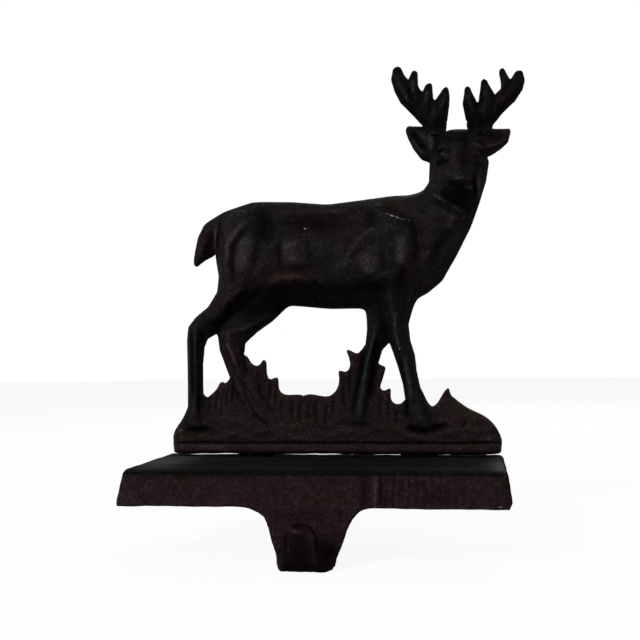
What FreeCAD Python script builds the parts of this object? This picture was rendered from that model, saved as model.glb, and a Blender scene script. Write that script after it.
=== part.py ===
import FreeCAD, Part
import os
from math import cos, pi, sin, sqrt

# Mantel stocking holder: an iron tray foot with a hook in front, and a standing deer screwed on top.
# Millimetres, +Z up, +Y towards the wall. The origin is the mantel's front top edge at mid width.

# Pedestal tray, an open-bottomed iron casting whose rim sits on the mantel
foot_width = 141.0
foot_depth = 65.0
foot_height = 12.0
end_draft = 1.8
face_draft = 3.5
top_thickness = 4.5
wall = 4.8
rim_land = 2.0
core_draft = 0.8
top_bevel = 0.9
corner_radius = 1.2
core_radius = 3.0
ground_end_x = 24.0
ground_depth = 0.4
ridge_width = 1.6
ridge_height = 0.5

# Hook that hangs in front of the mantel's edge
neck_x = -0.4
hook_x = -1.1
tongue_thickness = 5.5
tongue_width = 29.8
tongue_end_width = 21.0
flare_left = 12.0
flare_right = 7.5
flare_drop = 4.5
throat = 9.0
finger_thickness = 4.5
finger_taper = 0.6
finger_width = 10.4
finger_tip_width = 7.0
finger_neck_width = 11.2
finger_shoulder_width = 13.6
finger_tip_round = 1.4
finger_root_drop = 17.4
finger_shoulder_drop = 14.0
finger_neck_drop = 8.4
finger_tip_drop = 4.0
hook_drop = 21.0
corner_drop = 3.0

# Deer figure, a flat-backed iron casting; its outline is drawn over a ground line and scaled as a whole
figure_height = 156.0
figure_inset = 4.0
strip_depth = 10.0
lip_height = 3.6
lip_groove = 0.6
end_round = 9.0
end_bulge = 0.6
underside_chamfer = 0.8
edge_share = 0.25

# Bosses and screws that hold the figure on the tray
boss_height = 2.0
boss_length = 15.0
boss_width = 8.0
boss_spacing = 66.0
boss_centre_x = 3.0
screw_inset = 9.0
screw_radius = 2.0
screw_clearance = 0.3
thread_clearance = 0.03
screw_length = 12.0
tap_run_out = 2.0
head_radius = 3.5
head_height = 2.6
slot_width = 1.2
slot_depth = 1.1

# Heights that follow from the sizes above
front_foot_y = -tongue_thickness
back_foot_y = front_foot_y + foot_depth
finger_front_y = front_foot_y - throat - finger_thickness
back_top_y = back_foot_y - face_draft
figure_back_y = back_top_y - figure_inset
screw_y = back_top_y - screw_inset
figure_base_z = foot_height + boss_height
top_underside_z = foot_height - top_thickness
# An arc's bulge point lies this share of the radius in from the corner
bulge_share = 1 - sqrt(0.5)

# The figure's drawing: its ground line and its highest point
drawn_base = 14.0
drawn_top = 170.0
drawing_scale = figure_height / (drawn_top - drawn_base)

# Body forms, as rows of left point, right point and how far the form stands proud of the flat back
TORSO = [
    (-48.0, 110.0, -45.6, 86.0, 5.0),
    (-43.5, 113.0, -44.0, 78.0, 8.5),
    (-31.0, 116.5, -31.0, 74.0, 11.0),
    (-15.0, 115.9, -15.0, 73.6, 11.5),
    (0.0, 114.3, 0.0, 72.0, 11.5),
    (14.0, 115.6, 15.0, 72.0, 12.0),
    (28.0, 117.0, 29.0, 73.3, 12.0),
    (37.0, 116.6, 39.4, 77.0, 11.0),
    (43.0, 113.0, 46.6, 82.8, 8.0),
]
NECK = [
    (24.0, 116.8, 45.2, 81.2, 10.5),
    (33.0, 116.7, 51.6, 92.0, 12.0),
    (39.0, 118.2, 57.6, 103.6, 11.5),
    (41.5, 122.0, 61.1, 113.0, 11.0),
    (41.8, 127.0, 63.8, 121.6, 10.5),
    (42.0, 131.0, 65.1, 129.4, 10.0),
    (45.0, 137.0, 63.0, 137.0, 8.0),
]
HEAD = [
    (49.0, 142.4, 57.6, 142.4, 8.0),
    (45.6, 140.0, 62.0, 140.0, 10.5),
    (44.6, 134.5, 63.2, 134.0, 12.5),
    (45.2, 129.0, 61.6, 128.4, 13.8),
    (46.6, 125.0, 60.3, 124.4, 16.2),
    (47.2, 121.8, 59.6, 121.4, 16.4),
    (49.4, 119.0, 57.8, 118.6, 14.0),
]
TAIL = [
    (-45.0, 112.2, -41.0, 101.0, 7.0),
    (-51.8, 108.3, -46.0, 97.2, 6.5),
    (-54.6, 102.8, -49.0, 94.8, 6.0),
    (-55.9, 97.0, -52.0, 93.4, 5.0),
    (-56.7, 93.0, -54.2, 91.9, 3.6),
    (-56.5, 91.0, -55.6, 90.7, 2.4),
]
NEAR_HIND_LEG = [
    (-46.2, 94.0, -21.0, 97.0, 12.4),
    (-45.4, 86.0, -23.5, 87.0, 12.6),
    (-46.1, 79.4, -30.5, 79.5, 11.5),
    (-50.0, 73.4, -40.0, 72.0, 10.0),
    (-55.6, 69.2, -46.8, 63.0, 9.0),
    (-58.6, 65.4, -51.4, 60.6, 8.4),
    (-59.2, 60.0, -52.9, 57.0, 8.0),
    (-59.0, 50.0, -53.7, 49.6, 7.6),
    (-58.9, 40.0, -53.7, 39.6, 7.6),
    (-58.9, 33.0, -53.0, 32.6, 8.2),
    (-59.4, 27.0, -51.5, 26.6, 9.2),
    (-59.6, 23.4, -50.6, 23.2, 9.8),
]
FAR_HIND_LEG = [
    (-40.0, 79.0, -16.2, 74.0, 7.6),
    (-42.0, 71.0, -23.4, 67.4, 6.6),
    (-49.0, 66.0, -30.6, 62.8, 6.2),
    (-46.6, 61.6, -35.4, 58.6, 5.6),
    (-45.8, 55.6, -36.2, 53.6, 5.4),
    (-43.4, 49.4, -36.2, 47.2, 5.4),
    (-41.2, 43.6, -34.2, 41.6, 5.6),
    (-38.0, 37.4, -30.4, 35.2, 6.4),
    (-35.0, 31.0, -25.0, 29.6, 7.6),
    (-32.0, 27.6, -21.5, 26.4, 7.8),
]
NEAR_FORE_LEG = [
    (15.0, 96.0, 40.0, 92.0, 12.6),
    (16.5, 85.0, 39.0, 81.0, 12.4),
    (19.5, 75.5, 34.4, 72.8, 11.0),
    (21.6, 67.4, 32.0, 65.2, 9.6),
    (23.6, 60.6, 32.6, 58.6, 9.0),
    (26.0, 54.2, 34.3, 52.6, 8.4),
    (28.1, 47.6, 34.9, 46.4, 8.2),
    (29.9, 41.0, 36.2, 40.0, 8.2),
    (30.7, 35.0, 38.3, 34.6, 8.6),
    (31.2, 29.0, 40.4, 28.8, 9.4),
    (31.6, 23.6, 44.0, 23.2, 10.2),
]
FAR_FORE_LEG = [
    (13.0, 80.0, 25.0, 79.0, 7.6),
    (15.2, 71.0, 28.0, 67.0, 6.4),
    (15.6, 63.0, 25.0, 58.9, 6.0),
    (14.8, 56.6, 21.2, 55.0, 5.8),
    (13.4, 49.6, 19.2, 48.6, 5.8),
    (11.8, 42.0, 17.2, 41.2, 6.0),
    (10.4, 35.0, 16.0, 34.4, 6.8),
    (9.0, 29.6, 15.6, 29.2, 7.8),
    (8.6, 26.0, 15.8, 25.6, 8.2),
]

# Muscles that swell out of the body
HAUNCH = [
    (-39.0, 112.0, -31.0, 112.4, 10.6),
    (-44.6, 106.0, -26.6, 107.0, 12.6),
    (-45.6, 97.0, -24.0, 98.0, 13.6),
    (-44.6, 88.0, -26.0, 88.6, 13.2),
    (-42.0, 80.0, -31.0, 80.4, 11.4),
]
RIBS = [
    (-22.0, 102.0, -21.6, 92.0, 10.8),
    (-15.0, 107.4, -14.6, 87.6, 12.6),
    (-4.0, 106.6, -4.0, 87.8, 12.8),
    (6.0, 102.4, 6.0, 91.0, 11.4),
]
SHOULDER = [
    (17.0, 112.0, 24.0, 113.0, 11.0),
    (13.4, 104.0, 33.6, 107.0, 13.2),
    (13.6, 95.0, 38.6, 98.0, 14.2),
    (17.0, 86.0, 37.0, 88.6, 13.4),
    (20.6, 79.0, 33.6, 80.4, 11.4),
]
BROW_LEFT = [
    (45.4, 132.8, 46.2, 136.0, 12.6),
    (47.6, 133.0, 48.2, 136.6, 15.0),
    (50.6, 131.8, 51.0, 136.6, 14.8),
]
BROW_RIGHT = [
    (57.4, 136.6, 57.8, 131.4, 14.8),
    (60.2, 136.0, 60.6, 132.0, 15.0),
    (62.4, 135.0, 62.6, 132.0, 12.6),
]
NOSE = [
    (51.0, 125.8, 56.0, 125.6, 16.4),
    (50.6, 123.6, 56.6, 123.4, 18.0),
    (51.6, 121.8, 55.8, 121.6, 16.6),
]
EYE_LEFT = [
    (46.4, 131.2, 46.6, 132.2, 11.6),
    (47.2, 130.7, 47.4, 132.9, 13.0),
    (48.8, 130.5, 48.9, 132.7, 13.2),
    (49.6, 131.0, 49.6, 132.2, 12.4),
]
EYE_RIGHT = [
    (58.6, 131.8, 58.6, 130.6, 12.4),
    (59.4, 132.3, 59.3, 130.1, 13.2),
    (60.8, 132.4, 60.9, 130.4, 13.0),
    (61.6, 131.8, 61.7, 130.8, 11.6),
]

EAR_LEFT = [
    (43.5, 129.8, 46.5, 143.2, 6.5),
    (38.6, 131.8, 42.0, 144.4, 6.4),
    (35.4, 136.2, 38.8, 144.8, 5.6),
    (33.4, 140.4, 36.0, 145.0, 4.6),
    (32.5, 143.2, 33.3, 145.2, 3.4),
]
EAR_RIGHT = [
    (60.0, 143.0, 62.5, 130.8, 6.5),
    (66.6, 142.6, 66.8, 132.8, 6.4),
    (70.4, 142.4, 70.2, 135.0, 5.6),
    (72.8, 142.4, 72.8, 137.4, 4.6),
    (73.7, 142.2, 73.8, 140.9, 3.4),
]

# Antlers: each beam or tine from its root to its tip
ANTLER_LEFT = [
    [
        (40.0, 140.5, 48.0, 140.5, 8.0),
        (39.4, 145.6, 48.5, 146.0, 6.0),
        (34.9, 150.8, 46.0, 154.0, 5.0),
        (30.6, 155.4, 38.6, 159.6, 4.8),
        (28.3, 160.0, 33.9, 163.9, 4.6),
        (26.9, 165.0, 31.8, 166.2, 4.0),
        (27.8, 169.3, 30.2, 169.6, 2.6),
    ],
    [
        (33.0, 159.4, 39.4, 156.6, 4.6),
        (33.7, 164.2, 37.2, 162.0, 4.4),
        (35.5, 167.5, 37.0, 167.1, 3.2),
    ],
    [
        (38.4, 155.6, 43.8, 151.6, 4.6),
        (39.5, 159.2, 43.2, 156.8, 4.4),
        (40.9, 161.8, 42.8, 161.4, 3.2),
    ],
    [
        (42.6, 148.0, 48.7, 147.0, 5.4),
        (44.2, 154.8, 49.6, 153.6, 5.0),
        (46.0, 157.4, 49.8, 156.8, 4.2),
        (47.8, 159.6, 49.3, 159.4, 2.6),
    ],
]
ANTLER_RIGHT = [
    [
        (57.6, 140.5, 66.0, 140.0, 8.0),
        (57.0, 145.6, 66.9, 144.6, 6.0),
        (61.0, 153.6, 70.8, 149.4, 5.0),
        (67.6, 155.8, 75.8, 154.0, 4.8),
        (71.4, 159.4, 78.8, 158.4, 4.6),
        (74.8, 162.6, 79.7, 162.0, 4.0),
        (76.8, 165.4, 78.9, 165.3, 2.6),
    ],
    [
        (56.8, 147.0, 62.6, 148.0, 5.4),
        (55.6, 153.6, 60.4, 154.6, 5.0),
        (56.6, 159.2, 58.0, 159.4, 3.2),
    ],
    [
        (61.6, 151.6, 69.0, 154.6, 4.8),
        (62.4, 157.2, 67.1, 158.0, 4.4),
        (63.2, 162.0, 64.7, 162.2, 3.0),
    ],
    [
        (70.4, 155.4, 75.4, 157.6, 4.6),
        (71.0, 161.0, 74.0, 162.2, 4.4),
        (70.2, 166.0, 71.8, 166.2, 3.0),
    ],
]

# Edge of the grassy ground, as smooth runs that meet at the tips of its tufts
GROUND_EDGE = [
    [(-65.0, 14.0), (-65.8, 17.0), (-65.0, 20.6), (-62.2, 24.6), (-59.9, 28.6), (-58.6, 32.4),
     (-57.0, 36.4)],
    [(-57.0, 36.4), (-53.6, 37.4), (-51.6, 35.9), (-48.8, 37.4), (-46.2, 40.3), (-45.3, 42.4)],
    [(-45.3, 42.4), (-43.7, 41.7), (-42.2, 42.6), (-40.0, 47.0)],
    [(-40.0, 47.0), (-38.0, 52.5), (-36.4, 53.4), (-34.4, 52.2), (-33.0, 50.0), (-31.5, 49.0),
     (-27.2, 51.4)],
    [(-27.2, 51.4), (-26.7, 48.4), (-26.5, 45.4), (-25.3, 43.3), (-23.9, 43.3), (-22.2, 44.0)],
    [(-22.2, 44.0), (-21.7, 41.4), (-21.3, 38.8), (-20.0, 37.4), (-14.5, 36.8), (-11.0, 36.2)],
    [(-11.0, 36.2), (-8.0, 36.9), (-4.0, 36.2), (0.0, 36.3), (2.3, 37.8), (4.3, 43.4), (3.8, 46.8)],
    [(3.8, 46.8), (5.6, 46.0), (7.5, 46.4), (8.6, 48.2), (8.4, 51.8), (7.3, 55.0)],
    [(7.3, 55.0), (9.4, 54.0), (11.4, 53.4), (13.2, 54.6), (15.6, 58.0)],
    [(15.6, 58.0), (18.4, 50.6), (20.2, 48.9), (22.4, 47.8)],
    [(22.4, 47.8), (21.8, 45.4), (20.7, 42.0), (20.2, 39.8), (21.0, 38.5), (22.6, 38.4), (24.4, 39.3)],
    [(24.4, 39.3), (24.3, 36.4), (24.8, 34.2), (26.2, 33.0), (28.0, 32.8), (29.8, 33.8), (34.0, 41.0)],
    [(34.0, 41.0), (37.4, 37.4), (39.8, 32.8), (41.2, 31.8), (42.8, 32.6), (46.2, 37.6), (47.8, 39.2)],
    [(47.8, 39.2), (48.1, 37.4), (48.8, 36.0)],
    [(48.8, 36.0), (52.6, 32.9), (55.6, 30.9), (59.8, 28.9), (63.0, 26.9), (65.7, 24.0), (67.6, 20.4)],
    [(67.6, 20.4), (69.4, 15.6)],
    [(69.4, 15.6), (67.6, 14.0)],
]
# How far the ground stands proud of the flat back at each height above its lip
GROUND_SLOPE = [(18.4, 9.4), (23.0, 8.6), (29.0, 6.4), (36.0, 4.2), (42.0, 3.6)]
# Every form of the deer but its antlers, and the count of flats over each one's arch
FORMS = [
    TORSO,
    NECK,
    HEAD,
    TAIL,
    NEAR_HIND_LEG,
    FAR_HIND_LEG,
    NEAR_FORE_LEG,
    FAR_FORE_LEG,
    HAUNCH,
    RIBS,
    SHOULDER,
    BROW_LEFT,
    BROW_RIGHT,
    NOSE,
    EYE_LEFT,
    EYE_RIGHT,
    EAR_LEFT,
    EAR_RIGHT,
]
FORM_CHORD_COUNTS = [12, 10, 10, 6, 8, 6, 8, 6, 8, 8, 8, 4, 4, 6, 4, 4, 6, 6]
ANTLER_CHORD_COUNT = 6


def vec(x, y, z):
    return FreeCAD.Vector(x, y, z)


def drawn(x, z, proud=0.0):
    """A point of the figure's drawing, set on the tray; proud is how far it stands off the flat back."""
    height = figure_base_z + (z - drawn_base) * drawing_scale
    return vec(x * drawing_scale, figure_back_y - proud, height)


def straight_wire(points):
    """A closed wire of straight edges through the points."""
    return Part.makePolygon(points + [points[0]])


def smooth_edge(points):
    """A straight edge between two points, or a smooth curve through more."""
    if len(points) == 2:
        return Part.LineSegment(points[0], points[1]).toShape()
    curve = Part.BSplineCurve()
    curve.interpolate(points)
    return curve.toShape()


def arc_edge(start, through, end):
    return Part.Arc(start, through, end).toShape()


def rounded_rectangle(x_min, x_max, y_min, y_max, radius, z):
    """A level rectangle with round corners, as a closed wire."""
    bend = radius * bulge_share
    corners = [
        (x_max, y_min, -1, 1),
        (x_max, y_max, -1, -1),
        (x_min, y_max, 1, -1),
        (x_min, y_min, 1, 1),
    ]
    edges = []
    ends = []
    for index, (x, y, inward_x, inward_y) in enumerate(corners):
        on_end = vec(x, y + inward_y * radius, z)
        on_face = vec(x + inward_x * radius, y, z)
        bulge = vec(x + inward_x * bend, y + inward_y * bend, z)
        first, second = (on_face, on_end) if index % 2 == 0 else (on_end, on_face)
        edges.append(arc_edge(first, bulge, second))
        ends.append((first, second))
    for arc, following in zip(ends, ends[1:] + ends[:1]):
        edges.append(line_edge(arc[1], following[0]))
    return Part.Wire(Part.__sortEdges__(edges))


def tray_outline(height, inset):
    """The tray's outside at a height above the mantel, drafted on every side and drawn in by an inset."""
    lean = height / foot_height
    half_width = foot_width / 2 - end_draft * lean - inset
    y_min = front_foot_y + face_draft * lean + inset
    y_max = back_foot_y - face_draft * lean - inset
    return rounded_rectangle(-half_width, half_width, y_min, y_max, corner_radius, height)


def core_outline(height):
    """The tray's inside at a height, drawn in towards the top so that the sand core would leave it."""
    draw = core_draft * height / top_underside_z
    half_width = foot_width / 2 - wall - draw
    y_max = back_foot_y - wall - draw
    return rounded_rectangle(-half_width, half_width, rim_land + draw, y_max, core_radius, height)


def face_slice(depth_out, depth_in, x_min, x_max):
    """A slab that follows the tray's leaning front face, between two distances from it."""
    slope = face_draft / foot_height
    low, high = -foot_height, foot_height * 2
    section = [
        vec(x_min, front_foot_y + slope * low - depth_out, low),
        vec(x_min, front_foot_y + slope * low + depth_in, low),
        vec(x_min, front_foot_y + slope * high + depth_in, high),
        vec(x_min, front_foot_y + slope * high - depth_out, high),
    ]
    return Part.Face(straight_wire(section)).extrude(vec(x_max - x_min, 0, 0))


def casting_ridge():
    """Upright ridge on the front face, where the plain face meets the end that was ground down."""
    lean = vec(0, face_draft, foot_height)
    sunk = ridge_width / 2 - ridge_height
    ridge = Part.makeCylinder(ridge_width / 2, lean.Length, vec(ground_end_x, front_foot_y + sunk, 0), lean)
    keep = Part.makeBox(ridge_width * 2, face_draft * 4, foot_height - top_bevel * 2)
    keep.translate(vec(ground_end_x - ridge_width, front_foot_y - face_draft, top_bevel / 2))
    return ridge.common(keep)


def flare(inner, outer, control):
    """The sweep from the tray's rim into the side of the tongue."""
    curve = Part.BezierCurve()
    curve.setPoles([outer, control, inner])
    return curve.toShape()


def slab(edges, depth):
    """A flat outline made of edges, given depth."""
    return Part.Face(Part.Wire(Part.__sortEdges__(edges))).extrude(depth)


def line_edge(start, end):
    return Part.LineSegment(start, end).toShape()


def tongue():
    """Tapered tongue under the front wall, as wide as its two flares where it leaves the rim."""
    y = front_foot_y
    half_neck = tongue_width / 2
    half_end = tongue_end_width / 2
    low_z = corner_drop - hook_drop
    top_left = vec(neck_x - half_neck - flare_left, y, 0)
    top_right = vec(neck_x + half_neck + flare_right, y, 0)
    neck_left = vec(neck_x - half_neck, y, -flare_drop)
    neck_right = vec(neck_x + half_neck, y, -flare_drop)
    low_left = vec(hook_x - half_end, y, low_z)
    low_right = vec(hook_x + half_end, y, low_z)
    foot_left = vec(low_left.x + corner_drop, y, -hook_drop)
    foot_right = vec(low_right.x - corner_drop, y, -hook_drop)
    share = flare_drop / (neck_left.z - low_z)
    lean_left = (neck_left.x - low_left.x) * share
    lean_right = (neck_right.x - low_right.x) * share
    bend = corner_drop * bulge_share
    edges = [
        flare(neck_left, top_left, vec(neck_left.x + lean_left, y, 0)),
        line_edge(neck_left, low_left),
        arc_edge(low_left, vec(low_left.x + bend, y, bend - hook_drop), foot_left),
        line_edge(foot_left, foot_right),
        arc_edge(foot_right, vec(low_right.x - bend, y, bend - hook_drop), low_right),
        line_edge(low_right, neck_right),
        flare(neck_right, top_right, vec(neck_right.x + lean_right, y, 0)),
        line_edge(top_right, top_left),
    ]
    return slab(edges, vec(0, tongue_thickness, 0))


def hook_side(x_min, x_max):
    """The hook seen from its end: down the tongue, round the bend and up the finger."""
    inner = throat / 2
    outer = inner + finger_thickness
    centre_y = front_foot_y - inner
    centre_z = outer - hook_drop
    inner_y = centre_y - inner
    tip_z = -finger_tip_drop
    tip = vec(x_min, (inner_y + finger_front_y) / 2, tip_z)
    inner_tip = vec(x_min, inner_y - finger_taper, tip_z - finger_tip_round)
    outer_tip = vec(x_min, finger_front_y + finger_taper, tip_z - finger_tip_round)
    rim_back = vec(x_min, 0, 0)
    neck_back = vec(x_min, 0, -flare_drop)
    bend_back = vec(x_min, centre_y + outer, centre_z)
    bend_front = vec(x_min, finger_front_y, centre_z)
    throat_front = vec(x_min, inner_y, centre_z)
    throat_back = vec(x_min, front_foot_y, centre_z)
    rim_front = vec(x_min, front_foot_y, 0)
    edges = [
        line_edge(rim_back, neck_back),
        line_edge(neck_back, bend_back),
        arc_edge(bend_back, vec(x_min, centre_y, centre_z - outer), bend_front),
        line_edge(bend_front, outer_tip),
        arc_edge(outer_tip, tip, inner_tip),
        line_edge(inner_tip, throat_front),
        arc_edge(throat_front, vec(x_min, centre_y, centre_z - inner), throat_back),
        line_edge(throat_back, rim_front),
        line_edge(rim_front, rim_back),
    ]
    return slab(edges, vec(x_max - x_min, 0, 0))


def finger_plan():
    """The bend seen from above, as wide as the tongue behind and narrower in front."""
    low = -2 * hook_drop
    points = [
        vec(hook_x - tongue_end_width / 2, front_foot_y, low),
        vec(hook_x - finger_width / 2, finger_front_y, low),
        vec(hook_x + finger_width / 2, finger_front_y, low),
        vec(hook_x + tongue_end_width / 2, front_foot_y, low),
    ]
    return Part.Face(straight_wire(points)).extrude(vec(0, 0, 2 * hook_drop))


def finger_front():
    """The finger seen from the front, drawn in to its round tip."""
    y = finger_front_y
    half_end = tongue_end_width / 2
    half_shoulder = finger_shoulder_width / 2
    half_neck = finger_neck_width / 2
    half_tip = finger_tip_width / 2
    round_z = -finger_tip_drop - finger_tip_width / 4
    right_side = [
        vec(hook_x + half_tip, y, round_z),
        vec(hook_x + half_neck, y, -finger_neck_drop),
        vec(hook_x + half_shoulder, y, -finger_shoulder_drop),
        vec(hook_x + half_end, y, -finger_root_drop),
        vec(hook_x + half_end, y, -2 * hook_drop),
    ]
    left_side = [vec(2 * hook_x - point.x, y, point.z) for point in reversed(right_side)]
    points = right_side + left_side
    edges = [line_edge(start, end) for start, end in zip(points, points[1:])]
    edges.append(arc_edge(points[-1], vec(hook_x, y, -finger_tip_drop), points[0]))
    return slab(edges, vec(0, throat + finger_thickness, 0))


def hook():
    """Tongue and finger in one piece."""
    side = hook_side(hook_x - tongue_width, hook_x + tongue_width)
    finger = finger_plan().common(finger_front())
    return tongue().common(side).fuse(finger.common(side))


def screw_places():
    """Where the two screws stand on the tray's top."""
    return [boss_centre_x - boss_spacing / 2, boss_centre_x + boss_spacing / 2]


def pedestal():
    """Tray, ridge, ground end and hook in one casting, with two plain holes for the screws."""
    outlines = [
        tray_outline(0, 0),
        tray_outline(foot_height - top_bevel, 0),
        tray_outline(foot_height, top_bevel),
    ]
    body = Part.makeLoft(outlines, True, True)
    body = body.cut(Part.makeLoft([core_outline(0), core_outline(top_underside_z)], True, True))
    body = body.cut(face_slice(face_draft, ground_depth, ground_end_x, foot_width))
    body = body.multiFuse([casting_ridge(), hook()])
    for x in screw_places():
        hole = Part.makeCylinder(screw_radius + screw_clearance, foot_height * 2, vec(x, screw_y, 0))
        body = body.cut(hole)
    return body.removeSplitter()


def relief_section(row, chord_count):
    """A many-sided arch standing on the flat back between two points of the drawing."""
    left = drawn(row[0], row[1])
    right = drawn(row[2], row[3])
    middle = (left + right) * 0.5
    half = (right - left) * 0.5
    proud = row[4]
    points = [left, right]
    for step in range(chord_count, -1, -1):
        angle = pi * step / chord_count
        height = proud * (edge_share + (1 - edge_share) * sin(angle))
        points.append(middle - half * cos(angle) + vec(0, -height, 0))
    return straight_wire(points)


def relief(rows, chord_count):
    """A form on the flat back, carried through its rows of sections."""
    return Part.makeLoft([relief_section(row, chord_count) for row in rows], True, True)


def ground():
    """Grassy mound with a lip along its foot: its front outline and its slope in one."""
    edges = [smooth_edge([drawn(x, z) for x, z in run]) for run in GROUND_EDGE]
    first = drawn(*GROUND_EDGE[0][0])
    last = drawn(*GROUND_EDGE[-1][-1])
    edges.append(Part.LineSegment(last, first).toShape())
    front = Part.Face(Part.Wire(edges)).extrude(vec(0, -strip_depth, 0))

    lip_top = figure_base_z + lip_height
    outer_y = figure_back_y - strip_depth
    slope = [drawn(0, z, proud) for z, proud in GROUND_SLOPE]
    top_z = drawn(0, drawn_top).z
    section = [
        vec(0, figure_back_y, figure_base_z),
        vec(0, outer_y + underside_chamfer, figure_base_z),
        vec(0, outer_y, figure_base_z + underside_chamfer),
        vec(0, outer_y, lip_top - lip_groove),
        vec(0, outer_y + lip_groove, lip_top),
    ]
    section += slope
    section += [vec(0, slope[-1].y, top_z), vec(0, figure_back_y, top_z)]
    profile = Part.Face(straight_wire(section))
    profile.translate(vec(first.x - strip_depth, 0, 0))
    slope_block = profile.extrude(vec(last.x - first.x + 2 * strip_depth, 0, 0))

    plan = rounded_plan(first.x - end_bulge, last.x + end_bulge)
    return front.common(slope_block).common(plan)


def rounded_plan(x_min, x_max):
    """The mound seen from above, with its two front corners rounded off."""
    z = figure_base_z
    outer_y = figure_back_y - strip_depth
    bend = end_round * bulge_share
    points = [
        vec(x_min, figure_back_y, z),
        vec(x_min, outer_y + end_round, z),
        vec(x_min + end_round, outer_y, z),
        vec(x_max - end_round, outer_y, z),
        vec(x_max, outer_y + end_round, z),
        vec(x_max, figure_back_y, z),
    ]
    edges = [
        line_edge(points[0], points[1]),
        arc_edge(points[1], vec(x_min + bend, outer_y + bend, z), points[2]),
        line_edge(points[2], points[3]),
        arc_edge(points[3], vec(x_max - bend, outer_y + bend, z), points[4]),
        line_edge(points[4], points[5]),
        line_edge(points[5], points[0]),
    ]
    return slab(edges, vec(0, 0, figure_height))


def boss(x):
    """A raised pad under the figure, round at both ends, that stands on the tray."""
    reach = (boss_length - boss_width) / 2
    radius = boss_width / 2
    height = boss_height + lip_height / 2
    block = Part.makeBox(reach * 2, boss_width, height)
    block.translate(vec(x - reach, screw_y - radius, foot_height))
    places = [vec(x - reach, screw_y, foot_height), vec(x + reach, screw_y, foot_height)]
    return block.multiFuse([Part.makeCylinder(radius, height, place) for place in places])


def tapped_hole(x):
    """Blind hole for a screw, up through the boss."""
    depth = top_underside_z + screw_length + tap_run_out - foot_height
    return Part.makeCylinder(screw_radius + thread_clearance, depth, vec(x, screw_y, foot_height))


def deer_figure():
    """The deer, its ground and its bosses in one flat-backed casting."""
    forms = [relief(rows, count) for rows, count in zip(FORMS, FORM_CHORD_COUNTS)]
    forms += [relief(rows, ANTLER_CHORD_COUNT) for rows in ANTLER_LEFT + ANTLER_RIGHT]
    forms += [boss(x) for x in screw_places()]
    body = ground().multiFuse(forms)
    for x in screw_places():
        body = body.cut(tapped_hole(x))
    return body.removeSplitter()


def figure_screw(x):
    """Slotted cheese-head screw, driven up through the tray's top."""
    head_z = top_underside_z - head_height
    head = Part.makeCylinder(head_radius, head_height, vec(x, screw_y, head_z))
    shank = Part.makeCylinder(screw_radius, screw_length, vec(x, screw_y, top_underside_z))
    slot = Part.makeBox(head_radius * 4, slot_width, slot_depth * 2)
    slot.translate(vec(x - head_radius * 2, screw_y - slot_width / 2, head_z - slot_depth))
    return head.fuse(shank).cut(slot)


def main():
    os.makedirs("parts", exist_ok=True)
    nodes = {
        "pedestal": pedestal(),
        "deer_figure": deer_figure(),
        "figure_screws": Part.makeCompound([figure_screw(x) for x in screw_places()]),
    }
    for name, shape in nodes.items():
        print(name, "solids", len(shape.Solids), "mm3", round(shape.Volume), "valid", shape.isValid())
        shape.exportStep("parts/" + name + ".step")


main()
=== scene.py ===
"""Mantel stocking holder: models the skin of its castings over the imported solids, and lights them.

Sizes are in millimetres where a name says so and in metres for everything that Blender holds. The castings'
readings are places on their faces, seen from the front: x to the right and z up, in millimetres.
"""
import logging
import math
from collections.abc import Sequence
from dataclasses import dataclass, field
from enum import Enum

import bmesh
import bpy
import numpy as np
from mathutils import Matrix, Vector


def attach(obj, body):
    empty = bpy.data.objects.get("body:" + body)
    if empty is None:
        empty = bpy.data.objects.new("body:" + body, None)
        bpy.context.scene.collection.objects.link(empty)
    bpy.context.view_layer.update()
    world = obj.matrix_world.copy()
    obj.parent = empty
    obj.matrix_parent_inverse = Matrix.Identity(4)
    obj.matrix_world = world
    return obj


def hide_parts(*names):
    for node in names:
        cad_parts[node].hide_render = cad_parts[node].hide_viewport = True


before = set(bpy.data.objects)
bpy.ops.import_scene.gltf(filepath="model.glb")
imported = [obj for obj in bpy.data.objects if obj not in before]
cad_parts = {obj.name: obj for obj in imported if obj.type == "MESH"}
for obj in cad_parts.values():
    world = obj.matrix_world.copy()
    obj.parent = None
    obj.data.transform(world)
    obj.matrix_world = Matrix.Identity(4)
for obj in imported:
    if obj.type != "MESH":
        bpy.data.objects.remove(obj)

log = logging.getLogger("stocking_holder")

MM = 0.001
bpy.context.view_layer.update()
BODY = "root"

Point = tuple[float, float]
Colour = tuple[float, float, float]


class Touch(Enum):
    """What one pass of a modelling tool does to a casting's face."""

    SWELL = "swell"
    LAP = "lap"


class Lens(Enum):
    """Named facts of the camera that took the photograph."""

    FRAME_PIXELS = 640.0
    FOCAL_PIXELS = 1000.0
    SENSOR_MM = 36.0


@dataclass(frozen=True)
class Stroke:
    """One pass of a modelling tool along a path on the face; height is how far it raises the skin."""

    touch: Touch
    path: tuple[Point, ...]
    width: float
    height: float


@dataclass(frozen=True)
class Trail:
    """A painted value along a path, strongest on it."""

    path: tuple[Point, ...]
    width: float
    value: float


@dataclass(frozen=True)
class Oval:
    """A painted value in a soft oval."""

    x: float
    z: float
    half_x: float
    half_z: float
    value: float


def swell(width: float, height: float, *path: Point) -> Stroke:
    """A soft ridge where height is positive, or a soft hollow where it is negative."""
    return Stroke(Touch.SWELL, path, width, height)


def lap(width: float, height: float, *path: Point) -> Stroke:
    """A step: the skin on the left of the path lies over the skin on its right."""
    return Stroke(Touch.LAP, path, width, height)


def trail(width: float, value: float, *path: Point) -> Trail:
    """A painted value along a path."""
    return Trail(path, width, value)


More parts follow.
